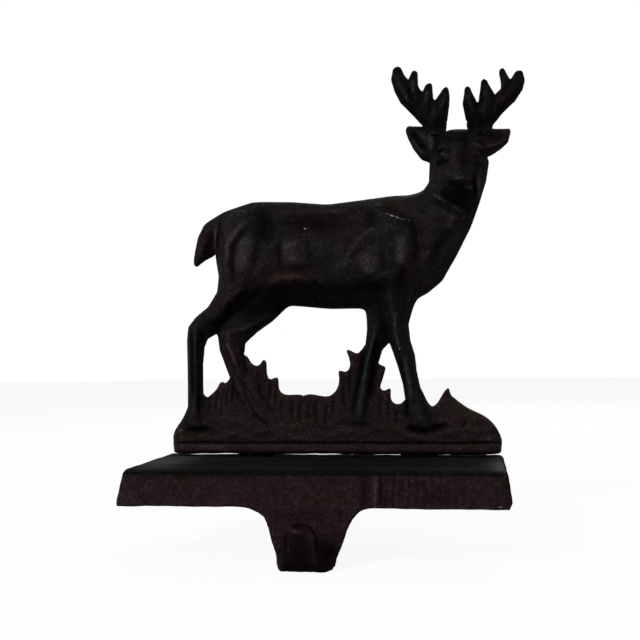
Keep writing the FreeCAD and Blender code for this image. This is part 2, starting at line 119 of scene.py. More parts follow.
# Strokes on the figure's face, part by part
HEAD_STROKES = (
    swell(1.2, -1.1, (44.0, 128.2), (47.0, 128.9), (50.0, 128.4)),
    swell(0.8, 0.8, (45.8, 129.4), (47.4, 129.9), (49.0, 129.4)),
    swell(0.6, 0.6, (45.0, 130.6), (46.4, 131.3), (48.0, 131.5), (49.6, 130.6)),
    swell(1.3, -0.4, (58.6, 127.0), (60.4, 126.9), (62.4, 126.8)),
    swell(0.9, 0.25, (58.0, 128.8), (60.0, 129.2), (62.8, 128.6)),
    swell(1.6, 0.8, (51.4, 138.0), (51.7, 131.0), (51.6, 123.6)),
    swell(2.3, -0.6, (56.4, 139.0), (55.9, 131.0), (55.6, 123.6)),
    swell(2.4, 0.6, (58.6, 133.0), (58.6, 123.4)),
    swell(1.8, 0.7, (47.6, 126.6), (48.4, 121.6)),
    swell(1.0, 0.45, (51.6, 120.9), (53.6, 121.3), (55.6, 120.8)),
    swell(0.6, -0.45, (50.6, 121.2), (51.2, 122.2)),
    swell(0.6, -0.45, (56.4, 121.4), (56.1, 122.3)),
    swell(0.6, -0.2, (49.0, 119.0), (51.6, 119.4), (54.8, 119.5), (59.0, 119.4)),
    swell(0.9, 0.6, (53.4, 117.8), (56.6, 118.2), (59.6, 118.1)),
    swell(0.9, -0.8, (59.5, 124.0), (59.6, 119.0), (59.0, 112.4)),
    swell(1.1, 0.7, (60.8, 124.4), (61.3, 118.6), (61.2, 112.6)),
)
EAR_STROKES = (
    swell(1.3, -1.5, (34.6, 142.6), (37.6, 138.6), (40.8, 134.2)),
    swell(1.4, 1.0, (42.0, 140.8), (42.8, 137.2), (42.6, 133.0)),
    swell(0.7, 0.8, (34.4, 140.0), (37.0, 135.6), (40.6, 131.8)),
    swell(1.0, -0.4, (44.8, 141.4), (45.0, 137.0), (44.4, 132.4)),
    swell(1.7, -1.3, (63.6, 139.2), (68.0, 138.0), (72.2, 139.8)),
    swell(0.8, 0.7, (63.8, 134.6), (68.8, 135.4), (73.0, 138.8)),
    swell(0.8, 0.6, (63.8, 141.8), (68.0, 141.9), (72.6, 141.6)),
    swell(1.2, -0.4, (62.6, 142.4), (63.2, 138.0), (63.0, 134.0)),
)
ANTLER_STROKES = (
    swell(0.9, -0.8, (43.2, 155.0), (42.4, 150.6), (41.2, 146.8)),
    swell(0.8, -0.7, (38.6, 159.0), (38.0, 154.8), (37.4, 150.8)),
    swell(0.8, -0.7, (33.4, 162.6), (34.6, 157.8), (35.8, 153.0)),
    swell(1.1, 0.7, (48.4, 158.0), (46.8, 152.4), (45.4, 147.0)),
    swell(1.1, 0.6, (42.0, 160.0), (40.8, 154.6), (40.4, 149.6)),
    swell(1.1, 0.6, (36.2, 165.0), (35.8, 158.6), (37.4, 152.6)),
    swell(1.2, 0.6, (29.2, 167.0), (30.8, 159.4), (34.8, 152.6)),
    swell(0.9, -0.8, (60.8, 154.6), (61.4, 150.0), (62.8, 146.6)),
    swell(0.8, -0.7, (67.8, 157.0), (67.4, 152.6), (66.4, 149.8)),
    swell(0.8, -0.7, (74.0, 163.0), (72.4, 158.0), (70.2, 154.4)),
    swell(1.1, 0.7, (57.4, 158.6), (58.4, 152.4), (59.8, 147.0)),
    swell(1.1, 0.6, (64.0, 161.4), (64.6, 155.6), (64.2, 150.0)),
    swell(1.1, 0.6, (71.0, 165.6), (71.6, 159.4), (69.6, 153.8)),
    swell(1.2, 0.6, (78.0, 164.2), (75.0, 157.4), (68.6, 151.4)),
)
NECK_STROKES = (
    swell(3.6, -1.6, (45.6, 117.0), (51.6, 114.6), (58.4, 113.4)),
    swell(1.1, 0.9, (41.6, 116.8), (45.6, 114.6), (49.4, 111.6)),
    swell(1.1, 0.7, (49.6, 112.2), (52.6, 109.8), (56.0, 107.0)),
    swell(1.3, -0.5, (42.0, 113.8), (46.8, 111.4), (52.0, 107.0)),
    swell(1.9, 1.0, (51.0, 108.4), (50.4, 104.4), (49.4, 100.4)),
    swell(2.0, -1.0, (54.2, 107.4), (49.4, 100.2), (45.2, 95.6), (42.0, 86.0)),
    swell(3.2, 1.0, (46.0, 112.0), (43.0, 104.0), (39.8, 93.6)),
    swell(2.4, -0.9, (30.6, 107.6), (35.6, 103.0), (36.6, 94.0), (33.0, 85.0)),
    swell(2.4, -0.6, (41.4, 113.6), (38.6, 107.0)),
    swell(1.2, 0.5, (26.0, 114.6), (34.0, 114.9), (42.0, 117.6)),
)
SHOULDER_STROKES = (
    swell(3.0, 1.5, (31.4, 101.4), (31.2, 94.0), (31.0, 85.4)),
    swell(1.8, -0.6, (27.0, 100.6), (26.4, 92.0), (27.0, 83.4)),
    swell(3.8, 1.7, (19.0, 98.0), (18.6, 91.0), (18.0, 82.0)),
    swell(1.5, 0.45, (6.0, 87.6), (11.0, 95.6), (15.8, 100.4), (22.0, 105.4)),
    swell(1.4, -0.4, (8.8, 88.4), (12.8, 93.0), (16.4, 95.6), (22.0, 99.4)),
    swell(1.6, -0.8, (23.4, 101.0), (23.2, 92.0), (24.2, 83.0)),
    swell(2.4, 0.4, (14.4, 110.0), (14.0, 101.0)),
    swell(2.4, -0.8, (18.8, 111.0), (18.4, 107.0), (19.6, 102.2)),
    swell(3.0, 0.9, (23.0, 104.0), (30.4, 103.0)),
    swell(1.6, -0.5, (18.6, 109.4), (26.4, 110.0), (35.4, 106.4)),
    lap(2.0, 1.3, (33.6, 87.0), (24.4, 86.0), (18.0, 82.4), (12.0, 85.4)),
    swell(2.8, -1.0, (10.0, 82.0), (18.0, 79.4), (28.6, 80.8)),
    swell(1.5, 0.9, (25.0, 80.0), (25.9, 74.0), (27.4, 67.4), (28.8, 59.0)),
    swell(1.6, -1.2, (31.6, 88.0), (30.4, 82.0), (29.6, 77.0)),
    swell(0.9, 0.7, (34.6, 82.0), (33.0, 73.0), (31.6, 65.0)),
)
BARREL_STROKES = (
    swell(3.6, -1.4, (-17.0, 106.8), (-4.0, 106.2), (12.6, 105.4)),
    swell(1.4, 0.5, (-22.0, 110.8), (-6.0, 111.4), (13.6, 110.4)),
    swell(4.0, 1.5, (-13.0, 100.8), (-12.4, 94.0), (-12.0, 86.6)),
    swell(1.3, -1.0, (-18.0, 101.0), (-18.8, 94.4), (-18.0, 87.0)),
    swell(1.1, -0.6, (-6.9, 100.4), (-6.4, 90.0)),
    swell(2.8, 0.8, (-1.4, 100.0), (-0.6, 90.0)),
    swell(2.0, 0.6, (6.4, 98.0), (6.2, 90.0)),
    swell(2.4, -0.6, (-24.0, 88.2), (-12.0, 87.4), (1.6, 87.4)),
    swell(2.1, 1.2, (-27.0, 80.0), (-18.4, 84.1), (-11.4, 84.3), (-3.6, 82.6)),
    swell(3.2, -1.4, (-26.0, 78.2), (-10.0, 78.2), (6.0, 77.8), (18.0, 79.0)),
    swell(1.2, -0.8, (-5.6, 82.0), (-2.6, 81.6)),
)
HAUNCH_STROKES = (
    swell(3.6, 1.7, (-31.4, 102.4), (-31.8, 95.0), (-33.4, 84.6)),
    swell(1.4, 0.8, (-30.0, 108.6), (-36.6, 102.6), (-39.8, 97.2), (-40.4, 87.0)),
    swell(1.5, -1.2, (-28.6, 106.6), (-34.4, 101.6), (-37.0, 97.0), (-38.4, 91.0), (-37.0, 80.0)),
    swell(1.4, -0.8, (-26.6, 103.0), (-27.2, 96.0), (-30.2, 86.0)),
    swell(2.1, 0.9, (-21.0, 99.6), (-23.6, 92.6), (-30.0, 82.4)),
    swell(3.0, -1.9, (-27.0, 116.4), (-24.6, 107.0), (-22.6, 97.0)),
    swell(2.6, 0.9, (-32.6, 82.6), (-38.0, 77.0), (-43.4, 72.6)),
    lap(2.6, 1.7, (-51.6, 64.0), (-43.0, 69.0), (-38.0, 71.5), (-33.0, 76.0), (-28.0, 80.2), (-22.0, 87.0)),
    swell(1.3, -1.0, (-43.4, 106.0), (-42.4, 98.0), (-42.6, 92.0)),
    swell(0.8, 0.8, (-44.8, 108.6), (-46.4, 101.0), (-46.8, 93.6)),
    swell(0.7, -0.9, (-43.6, 110.6), (-45.0, 103.0), (-45.2, 94.4)),
    swell(1.5, -1.3, (-47.0, 105.0), (-49.0, 99.4), (-51.6, 93.6)),
    swell(0.7, -0.5, (-34.0, 82.6), (-37.0, 80.2), (-40.4, 79.0)),
)
LEG_STROKES = (
    swell(0.8, 0.4, (-57.3, 68.4), (-57.2, 52.0), (-57.3, 30.0)),
    swell(0.6, -0.4, (-56.1, 66.0), (-56.1, 50.0), (-56.0, 33.0)),
    swell(0.9, 0.6, (-54.5, 70.0), (-54.5, 52.0), (-54.6, 30.0)),
    swell(2.2, 0.6, (-50.6, 68.6), (-54.6, 66.4)),
    swell(2.2, 0.7, (-55.2, 37.6), (-54.8, 25.4)),
    swell(1.1, -0.9, (-59.6, 23.8), (-53.8, 23.4), (-48.4, 24.0)),
    swell(1.7, 0.9, (-42.0, 63.4), (-40.8, 54.6)),
    swell(1.0, 1.0, (-42.4, 60.6), (-37.9, 49.4), (-34.6, 41.2)),
    swell(0.7, -0.5, (-36.4, 58.0), (-34.9, 50.0), (-33.8, 44.6)),
    swell(2.0, 1.2, (-35.6, 50.0), (-31.6, 39.0), (-24.6, 26.0)),
    swell(0.9, -0.6, (-30.0, 45.0), (-28.6, 38.0), (-24.0, 31.6), (-20.6, 26.4)),
    swell(0.9, -0.5, (-36.0, 45.0), (-34.0, 37.0), (-30.0, 29.6), (-24.6, 25.0)),
    swell(1.0, 0.7, (-20.4, 71.0), (-28.0, 67.0), (-34.0, 64.2), (-43.6, 62.0)),
    swell(0.8, 0.9, (19.9, 66.0), (18.0, 58.0), (15.2, 48.0), (13.4, 36.0)),
    swell(1.6, 0.7, (13.0, 38.0), (12.6, 26.8)),
    swell(0.7, -0.6, (14.4, 58.0), (12.8, 46.0), (10.8, 38.0), (9.0, 27.4)),
    swell(1.2, -0.6, (20.6, 62.0), (18.1, 48.0), (17.3, 34.0)),
    swell(0.8, 0.8, (26.8, 67.4), (27.7, 60.0), (28.8, 54.6)),
    swell(1.0, 0.7, (30.4, 55.0), (32.0, 45.0), (33.8, 30.6)),
    swell(0.6, -0.6, (28.0, 54.0), (30.6, 42.0), (31.2, 26.0)),
    swell(0.8, -0.6, (33.0, 56.0), (34.0, 46.0), (35.8, 36.0)),
    swell(2.4, 0.8, (35.4, 35.0), (37.9, 25.4)),
    swell(1.2, -1.1, (31.6, 24.0), (38.4, 22.9), (47.4, 25.4)),
    swell(0.9, -0.4, (9.0, 25.8), (13.0, 25.2), (17.0, 26.0)),
)

# Cuts between the blades of grass, as their foot, the heights at which they start and end, and how they lean
GRASS_CUTS = (
    (-50.0, 29.0, 36.6, 0.8), (-47.2, 30.0, 38.2, 0.9), (-44.6, 28.6, 38.6, 0.4), (-42.6, 31.0, 41.6, 0.5),
    (-40.4, 32.0, 45.4, 0.9), (-24.7, 33.4, 42.8, 0.3), (-22.2, 31.0, 41.4, 0.5), (-19.6, 30.2, 35.6, 0.4),
    (-15.0, 28.0, 35.8, -0.4), (-11.8, 26.6, 35.0, 0.4), (-8.3, 25.6, 35.4, 0.3), (-6.6, 28.4, 33.4, 0.2),
    (-5.0, 26.0, 35.0, -0.3), (-1.3, 24.8, 32.6, 0.6), (1.2, 28.0, 36.4, 0.5), (6.1, 30.0, 44.8, -0.4),
    (8.0, 36.0, 50.0, 0.2), (20.4, 28.4, 37.0, 0.5), (23.8, 27.8, 36.0, 0.3), (27.0, 26.0, 31.4, 0.2),
    (53.2, 24.4, 27.4, 1.6),
)

# Painted light and shade on the figure, in doublings of its colour: painted highlights on the lit forms and
# rims, painted shadows under the muzzle, belly, thighs and hooves
BODY_LIGHT_AND_SHADE = (
    Oval(-5.0, 106.0, 17.0, 4.5, -1.1), Oval(-25.0, 105.5, 3.6, 6.5, -1.3), Oval(-32.4, 95.0, 4.4, 8.5, 1.1),
    Oval(-40.0, 98.0, 2.4, 7.0, 0.4), Oval(-13.8, 94.0, 4.6, 5.0, 0.85), Oval(0.0, 94.0, 7.0, 5.5, 0.15),
    Oval(-9.0, 87.4, 11.0, 1.8, -0.3), Oval(-5.0, 76.6, 22.0, 5.0, -1.5), Oval(-3.6, 81.3, 1.6, 0.9, -1.0),
    Oval(19.5, 102.0, 3.0, 3.0, 0.3), Oval(18.2, 88.6, 3.6, 4.6, 1.0), Oval(31.0, 94.0, 2.8, 5.4, 0.9),
    Oval(15.4, 90.4, 1.4, 2.6, 0.5),
    Oval(17.6, 86.6, 1.6, 1.4, 0.6), Oval(29.6, 91.6, 1.3, 2.6, 0.4), Oval(8.0, 90.2, 1.4, 1.6, 0.4),
    Oval(-31.0, 97.4, 1.6, 2.8, 0.4), Oval(-34.0, 90.6, 1.4, 2.4, 0.4), Oval(-15.6, 96.4, 1.6, 1.6, 0.4),
    Oval(-11.4, 91.6, 1.8, 1.4, 0.35), Oval(37.0, 84.0, 2.4, 5.0, -0.3), Oval(-39.4, 80.6, 2.6, 1.6, 0.3),
    Oval(18.6, 108.0, 2.2, 3.4, -0.8), Oval(26.0, 95.0, 3.4, 7.0, 0.15), Oval(30.5, 82.0, 3.5, 5.0, -1.3),
    Oval(19.0, 79.6, 6.0, 2.8, -1.5), Oval(21.5, 72.0, 2.0, 7.0, -0.8), Oval(27.0, 70.0, 5.0, 9.0, -0.35),
    Oval(50.2, 103.6, 1.9, 4.0, 0.8),
    Oval(-33.0, 72.0, 6.0, 4.0, -1.6), Oval(-45.6, 66.6, 6.0, 2.4, -1.3),
    Oval(-24.0, 75.0, 7.0, 5.0, -1.3), Oval(-40.0, 76.0, 5.0, 4.0, 0.25),
    Oval(-37.0, 111.4, 6.0, 2.0, 0.3), Oval(-49.0, 98.6, 2.6, 5.0, -0.7), Oval(37.6, 98.5, 0.8, 1.2, 0.8),
    trail(0.8, 0.55, (-33.0, 114.0), (-25.0, 115.8), (-10.0, 115.2), (5.0, 113.6), (16.0, 113.8),
          (34.0, 115.6)),
    trail(1.6, 0.6, (-33.0, 106.6), (-37.0, 102.6), (-40.0, 97.0), (-40.0, 92.0)),
    trail(0.9, 0.5, (9.0, 91.5), (11.4, 96.0), (16.0, 100.6), (18.4, 103.0)),
    trail(1.4, 0.5, (4.0, 88.0), (9.0, 90.0), (13.6, 92.0)),
    trail(1.9, -0.8, (33.6, 105.6), (36.0, 101.0), (36.0, 90.0)),
    trail(1.4, 0.3, (-21.6, 83.4), (-17.0, 84.6), (-12.0, 84.8), (-8.6, 84.3)),
    trail(0.8, 0.45, (-17.0, 111.2), (-6.0, 111.4), (8.0, 110.6)),
    trail(1.5, -0.7, (52.4, 105.0), (48.4, 99.4), (44.6, 95.0), (42.6, 89.0)),
    trail(1.1, 0.3, (25.5, 80.0), (26.0, 73.0), (28.0, 66.0)),
    trail(0.5, 0.7, (-46.1, 104.6), (-46.7, 96.0)),
    trail(1.3, -0.6, (-32.4, 104.0), (-36.0, 99.0), (-37.8, 91.0), (-37.4, 84.0)),
    trail(0.8, 0.4, (-44.0, 93.0), (-43.4, 81.0)),
)
# Painted highlights and shade on the head: painted shade under the muzzle and in the eye, a painted
# catchlight, painted highlights on the antler tines
HEAD_LIGHT_AND_SHADE = (
    Oval(52.0, 114.4, 6.2, 3.2, -2.1), Oval(55.0, 111.4, 3.6, 3.6, -1.7), Oval(43.3, 121.0, 1.5, 5.0, 0.3),
    Oval(48.0, 123.4, 1.9, 2.8, 0.6), Oval(51.0, 137.8, 6.0, 2.8, -0.9),
    trail(0.6, -1.8, (44.9, 128.4), (47.0, 128.9), (49.0, 128.6)),
    Oval(60.6, 126.9, 1.7, 1.0, -0.7), Oval(42.4, 137.4, 1.8, 3.4, 0.9), Oval(57.6, 121.0, 1.4, 1.2, 0.5),
    Oval(44.5, 144.0, 5.5, 3.4, -1.5), Oval(61.5, 144.0, 5.5, 3.4, -1.5), Oval(43.6, 149.4, 1.3, 2.6, 1.5),
    Oval(61.8, 149.8, 1.8, 2.4, 1.2), Oval(53.6, 120.9, 1.8, 0.6, 0.7), Oval(56.8, 118.1, 2.0, 0.7, 0.5),
    Oval(52.6, 129.0, 0.8, 3.0, 0.2), Oval(46.4, 137.4, 0.9, 0.7, 0.9),
    Oval(48.4, 129.8, 0.6, 0.4, 0.8),
    trail(2.1, -0.8, (56.6, 138.0), (56.0, 131.0), (55.4, 124.4)), Oval(55.4, 127.0, 1.3, 2.4, -0.5),
    trail(0.4, 0.35, (48.6, 117.7), (52.4, 118.0), (58.6, 117.6)), Oval(57.6, 118.4, 1.8, 0.9, 0.7),
    Oval(68.5, 138.5, 6.0, 4.0, -0.5), Oval(38.6, 138.4, 3.6, 4.0, 0.3), Oval(47.0, 125.6, 3.0, 3.0, -0.2),
    Oval(60.4, 130.0, 2.4, 5.0, -0.3), Oval(52.0, 122.6, 3.4, 1.6, 0.25), Oval(62.0, 120.0, 0.9, 6.0, 0.4),
    Oval(29.4, 167.2, 1.8, 1.5, -0.8), Oval(36.2, 165.6, 1.2, 1.4, -0.8), Oval(42.6, 160.6, 1.2, 1.3, -0.8),
    Oval(49.0, 158.6, 1.4, 1.4, -0.8), Oval(57.2, 159.0, 1.4, 1.4, -0.6), Oval(63.8, 161.8, 1.2, 1.4, -0.8),
    Oval(71.2, 165.8, 1.4, 1.3, -0.8), Oval(78.6, 165.0, 1.6, 1.6, -0.5), Oval(60.4, 147.0, 2.6, 3.4, -0.8),
    trail(0.7, -1.1, (59.4, 122.6), (59.3, 115.0)),
    trail(0.8, 0.9, (60.5, 122.1), (61.5, 114.7)),
    trail(0.7, 0.8, (43.5, 115.6), (48.2, 112.9)), trail(0.6, 0.8, (51.5, 110.8), (54.1, 108.6)),
    trail(0.4, 1.0, (46.6, 131.2), (48.0, 131.4), (49.4, 130.6)),
    trail(1.1, -0.9, (35.0, 142.2), (40.8, 134.4)),
    trail(0.7, 1.6, (35.6, 162.6), (35.6, 159.0)), trail(0.6, 1.7, (41.2, 158.6), (40.8, 155.0)),
    trail(0.7, 1.1, (48.4, 156.4), (47.0, 152.4)), trail(0.6, 1.2, (31.6, 159.4), (33.4, 155.4)),
    trail(0.6, 0.6, (57.6, 156.0), (58.2, 152.0)), trail(0.7, 0.6, (64.2, 159.0), (64.4, 154.6)),
    trail(0.6, 0.6, (70.8, 163.4), (71.4, 159.6)), trail(0.7, 0.7, (28.8, 165.4), (29.8, 161.4)),
)
# Painted highlights and shade on the legs and ground, with painted shadows under the hooves
LEG_LIGHT_AND_SHADE = (
    trail(0.6, 0.3, (-57.3, 66.0), (-57.3, 38.0)), trail(0.5, -0.7, (-56.1, 62.0), (-56.1, 38.0)),
    trail(0.7, 0.3, (-54.5, 66.0), (-54.6, 34.0)), trail(1.1, -0.9, (-52.4, 64.0), (-52.6, 34.0)),
    Oval(-54.6, 32.0, 3.0, 6.0, 0.3), trail(0.9, -1.8, (-57.6, 23.6), (-53.0, 23.2), (-48.4, 24.0)),
    Oval(-41.2, 58.6, 1.8, 3.6, 0.3), trail(0.8, 0.35, (-40.0, 55.6), (-37.5, 49.0), (-34.5, 43.0)),
    trail(0.7, -0.8, (-36.2, 56.0), (-34.3, 46.6)),
    trail(2.0, 0.3, (-33.6, 43.0), (-30.6, 36.0), (-26.6, 30.0), (-22.0, 25.6)),
    trail(0.8, -0.6, (-36.0, 43.4), (-34.0, 37.0), (-30.4, 30.0), (-25.0, 25.0)),
    trail(0.8, 0.2, (-22.0, 70.2), (-28.0, 67.0), (-33.0, 64.6), (-42.0, 62.4)),
    trail(0.8, 0.4, (19.5, 64.6), (18.0, 58.0), (16.0, 52.0), (14.4, 44.0), (13.5, 38.0)),
    Oval(12.8, 32.0, 2.2, 4.4, 0.4), trail(0.6, -0.9, (13.6, 54.0), (12.8, 46.0), (11.0, 38.0), (9.5, 30.6)),
    trail(1.4, -1.2, (19.6, 58.0), (18.0, 48.0), (17.4, 38.6)), Oval(22.6, 62.0, 2.0, 5.0, -1.2),
    trail(0.9, 0.5, (26.6, 70.0), (28.6, 56.8)), trail(0.7, 0.35, (31.0, 51.4), (32.2, 44.0), (33.5, 33.4)),
    trail(0.6, -1.2, (29.0, 50.4), (30.8, 42.0), (31.3, 29.0)), Oval(36.4, 30.0, 2.6, 4.0, 0.35),
    trail(1.2, -1.8, (32.6, 24.0), (38.6, 22.8), (46.4, 25.0)), trail(0.7, -0.8, (9.0, 25.6), (16.6, 25.6)),
    Oval(-15.0, 22.0, 22.0, 3.0, 0.15), Oval(50.0, 28.0, 9.0, 7.0, 0.25),
    Oval(-44.0, 30.5, 2.4, 3.6, 0.4), Oval(53.0, 25.0, 2.0, 0.8, -0.5),
    Oval(46.6, 38.0, 1.2, 1.4, -0.9), Oval(-61.0, 24.0, 1.4, 7.0, 0.5), Oval(-51.0, 16.7, 2.0, 0.9, 0.9),
    Oval(-46.0, 16.2, 3.4, 0.7, 0.5), Oval(66.0, 17.5, 2.0, 2.0, 0.4),
    trail(1.2, 0.3, (-60.0, 16.0), (66.0, 16.0)), Oval(-52.0, 24.0, 9.0, 5.0, -0.25),
)
# All the painted light and shade of the figure
FIGURE_LIGHT_AND_SHADE = BODY_LIGHT_AND_SHADE + HEAD_LIGHT_AND_SHADE + LEG_LIGHT_AND_SHADE

# Where the figure's lacquer is redder, or with a value below zero colder
WARMTH = (
    Oval(-5.0, 107.0, 16.0, 5.0, 0.9), Oval(-14.0, 86.0, 12.0, 3.4, 0.9), Oval(-49.0, 100.0, 4.0, 7.0, 0.7),
    Oval(-42.0, 102.0, 1.8, 5.0, 0.9), Oval(-38.0, 86.0, 6.0, 8.0, 0.4), Oval(-41.0, 75.0, 5.0, 5.0, 0.35),
    Oval(-22.0, 92.0, 4.0, 6.0, 0.35), Oval(14.5, 106.0, 2.0, 4.0, 0.6), Oval(32.0, 113.6, 8.0, 2.0, 0.6),
    Oval(40.6, 97.0, 3.0, 8.0, 0.5), Oval(34.4, 79.0, 1.8, 9.0, 0.8), Oval(60.6, 131.0, 3.0, 7.0, 0.6),
    Oval(52.6, 128.6, 1.2, 4.0, 0.25), Oval(69.0, 138.5, 6.0, 4.0, 0.8), Oval(73.0, 158.0, 5.0, 6.0, 0.6),
    Oval(31.0, 162.0, 3.0, 4.6, 0.5), Oval(39.0, 137.6, 3.6, 5.0, -0.7),
    Oval(44.0, 122.0, 3.0, 6.0, 0.05), Oval(-25.0, 107.0, 4.6, 7.0, -1.2),
    Oval(-36.0, 111.5, 8.0, 3.0, -0.8), Oval(20.0, 108.0, 4.0, 4.0, -0.8), Oval(25.0, 77.0, 7.0, 9.0, -1.0),
    Oval(28.4, 94.0, 1.4, 6.0, -0.7), Oval(46.0, 92.0, 4.0, 10.0, -0.6), Oval(62.0, 145.0, 6.0, 6.0, -0.9),
    Oval(45.0, 145.0, 7.0, 6.0, -0.6), Oval(50.0, 137.0, 6.0, 4.0, -0.9), Oval(-52.6, 50.0, 1.2, 14.0, 0.5),
    Oval(-56.6, 46.0, 2.2, 22.0, -0.7), Oval(14.0, 44.0, 3.4, 18.0, -0.9), Oval(32.0, 44.0, 4.0, 18.0, -0.9),
    Oval(-32.0, 37.0, 3.4, 9.0, -0.25), Oval(-53.0, 67.0, 5.0, 3.0, -0.8), Oval(35.0, 51.0, 1.2, 7.0, 0.9),
)
# Chips and scratches to bare metal, and painted glints in the same pale colour on the nose, the shoulder's
# lobes and the haunch
CHIPS_AND_GLINTS = (
    Oval(-8.3, 104.0, 0.6, 0.4, 0.85), Oval(-7.0, 104.5, 0.4, 0.3, 0.6), Oval(-6.0, 113.4, 0.5, 0.3, 0.45),
    Oval(47.8, 108.6, 0.5, 0.5, 0.5), Oval(29.0, 55.2, 0.25, 0.5, 0.9), Oval(-33.6, 43.6, 0.25, 0.7, 0.5),
    Oval(16.5, 92.0, 0.5, 0.6, 0.45), Oval(15.5, 88.0, 0.5, 0.5, 0.4), Oval(-32.0, 94.0, 0.5, 0.6, 0.4),
    Oval(48.3, 112.7, 0.4, 0.3, 0.55), Oval(53.2, 121.0, 0.6, 0.4, 0.5), Oval(69.0, 15.6, 0.8, 0.5, 0.45),
    Oval(26.9, 107.8, 0.45, 0.35, 0.75), trail(0.24, 0.58, (22.4, 108.6), (25.0, 108.7), (29.0, 107.1)),
    trail(0.26, 0.6, (29.0, 107.1), (31.4, 106.3), (33.8, 106.0)),
    trail(0.35, 0.42, (-52.6, 17.0), (-49.4, 16.6)),
)

# The legs' middles, which stay dark and cold where they stand before the ground
LEG_LINES = (
    trail(2.6, 1.2, (-56.0, 68.0), (-55.2, 25.0)),
    trail(2.0, 0.5, (-36.6, 50.0), (-31.0, 37.0), (-24.6, 27.4)),
    trail(2.6, 1.2, (19.0, 62.0), (15.6, 48.0), (12.8, 28.0)),
    trail(2.8, 1.2, (28.0, 64.0), (32.6, 44.0), (37.4, 26.0)),
)

# How far the tips of the antlers and the crown are drawn up or down, in millimetres
OUTLINE_PULLS = (
    Oval(29.6, 167.6, 1.8, 1.8, 0.4), Oval(36.2, 165.8, 1.3, 1.8, 0.6), Oval(42.6, 160.8, 1.3, 1.8, 0.8),
    Oval(49.0, 158.8, 1.4, 1.9, 1.0), Oval(57.2, 159.0, 1.4, 1.9, 0.8), Oval(63.8, 162.0, 1.3, 1.8, 0.6),
    Oval(71.2, 166.0, 1.3, 1.8, 0.45), Oval(53.6, 142.8, 5.0, 1.7, -0.7),
)

# Painted light and shade, warmth, and chips with painted glints on the front of the tray, its tongue and its
# hook
# Painted light at the left end, painted shade and a painted highlight along the bevelled ridge by the
# ground's end, and a painted shade line under the top edge
TRAY_LIGHT_AND_SHADE = (
    Oval(-65.0, 2.6, 5.0, 2.6, 0.5), Oval(-57.0, 10.6, 4.6, 0.8, 0.4), Oval(-20.0, 5.0, 26.0, 4.0, 0.1),
    trail(1.4, -1.0, (19.5, 9.6), (19.5, 1.0)), trail(0.7, 1.1, (23.3, 9.8), (23.3, 0.4)),
    trail(0.6, -0.7, (25.0, 9.8), (25.0, 1.0)), trail(1.4, -0.6, (68.6, 9.0), (69.4, 1.0)),
    Oval(45.0, 3.0, 6.0, 2.2, -0.5), Oval(34.0, 6.0, 8.0, 4.0, -0.25), Oval(60.0, 6.0, 5.0, 4.0, 0.1),
    trail(0.6, -1.5, (-68.0, 11.0), (68.0, 11.0)), Oval(-34.0, 10.2, 20.0, 0.9, -0.8),
)
# Painted highlights on the finger's facets and tip, painted shade on its face and in the dark crescent above
# its tip
HOOK_LIGHT_AND_SHADE = (
    trail(0.8, 0.9, (-7.8, -8.0), (-7.6, -13.0), (-7.8, -19.0)),
    trail(0.5, -0.7, (-6.2, -8.6), (-6.2, -18.6)),
    Oval(-1.2, -12.6, 4.0, 7.0, -1.1), trail(0.7, 1.5, (-4.6, -5.8), (-2.4, -6.4), (-0.4, -6.9)),
    trail(0.7, -1.4, (-5.0, -4.2), (-0.6, -4.6)), trail(0.7, 0.7, (2.0, -6.6), (3.4, -11.4), (4.4, -18.0)),
)
# Painted shade in the throat of the bend, and painted light on the tongue
TONGUE_LIGHT_AND_SHADE = (
    Oval(6.8, -17.4, 2.6, 3.0, -0.9), Oval(-1.0, -9.0, 18.0, 8.0, 0.3), Oval(9.6, -11.0, 1.6, 5.0, -0.3),
)
# Chips to bare metal, with a painted highlight on the corner's bevel
TRAY_CHIPS_AND_GLINTS = (
    Oval(66.2, 0.4, 1.1, 0.32, 0.72), Oval(68.0, 10.7, 0.8, 0.9, 0.45), Oval(61.5, 9.9, 0.8, 0.3, 0.5),
    Oval(-40.6, 10.6, 0.6, 0.3, 0.4),
)
# A painted highlight on the finger's tip, and a small pale mark on its left face
HOOK_CHIPS_AND_GLINTS = (Oval(-2.3, -6.5, 0.7, 0.35, 0.55), Oval(-4.9, -12.8, 0.4, 0.5, 0.65))

# Painted sheen and shade on the tray's top, seen from above: x to the right and y to the back
TOP_SHEEN_AND_SHADE = (
    Oval(-61.0, 26.0, 12.0, 32.0, 3.0), Oval(2.0, 30.0, 22.0, 34.0, -0.45),
    Oval(36.0, 22.0, 14.0, 20.0, -0.55), Oval(46.0, 40.0, 16.0, 22.0, 0.5),
    Oval(67.0, 14.0, 5.0, 30.0, 2.9), trail(1.6, 0.7, (-60.0, 54.0), (60.0, 55.0)),
    Oval(-20.0, 42.0, 16.0, 10.0, 0.4),
    trail(1.6, -0.7, (-60.0, 15.0), (60.0, 17.0)), trail(1.2, 0.5, (-20.0, 24.0), (50.0, 25.0)),
    trail(1.4, -0.5, (0.0, 36.0), (62.0, 38.0)),
)


def falloff(distance: np.ndarray, width: float) -> np.ndarray:
    """A bell that is 1 on the path and fades within about twice the width."""
    return np.exp(-((distance / width) ** 2))


def step_up(value: np.ndarray, low: float, high: float) -> np.ndarray:
    """0 below a range, 1 above it and a straight rise between."""
    return np.clip((value - low) / (high - low), 0.0, 1.0)


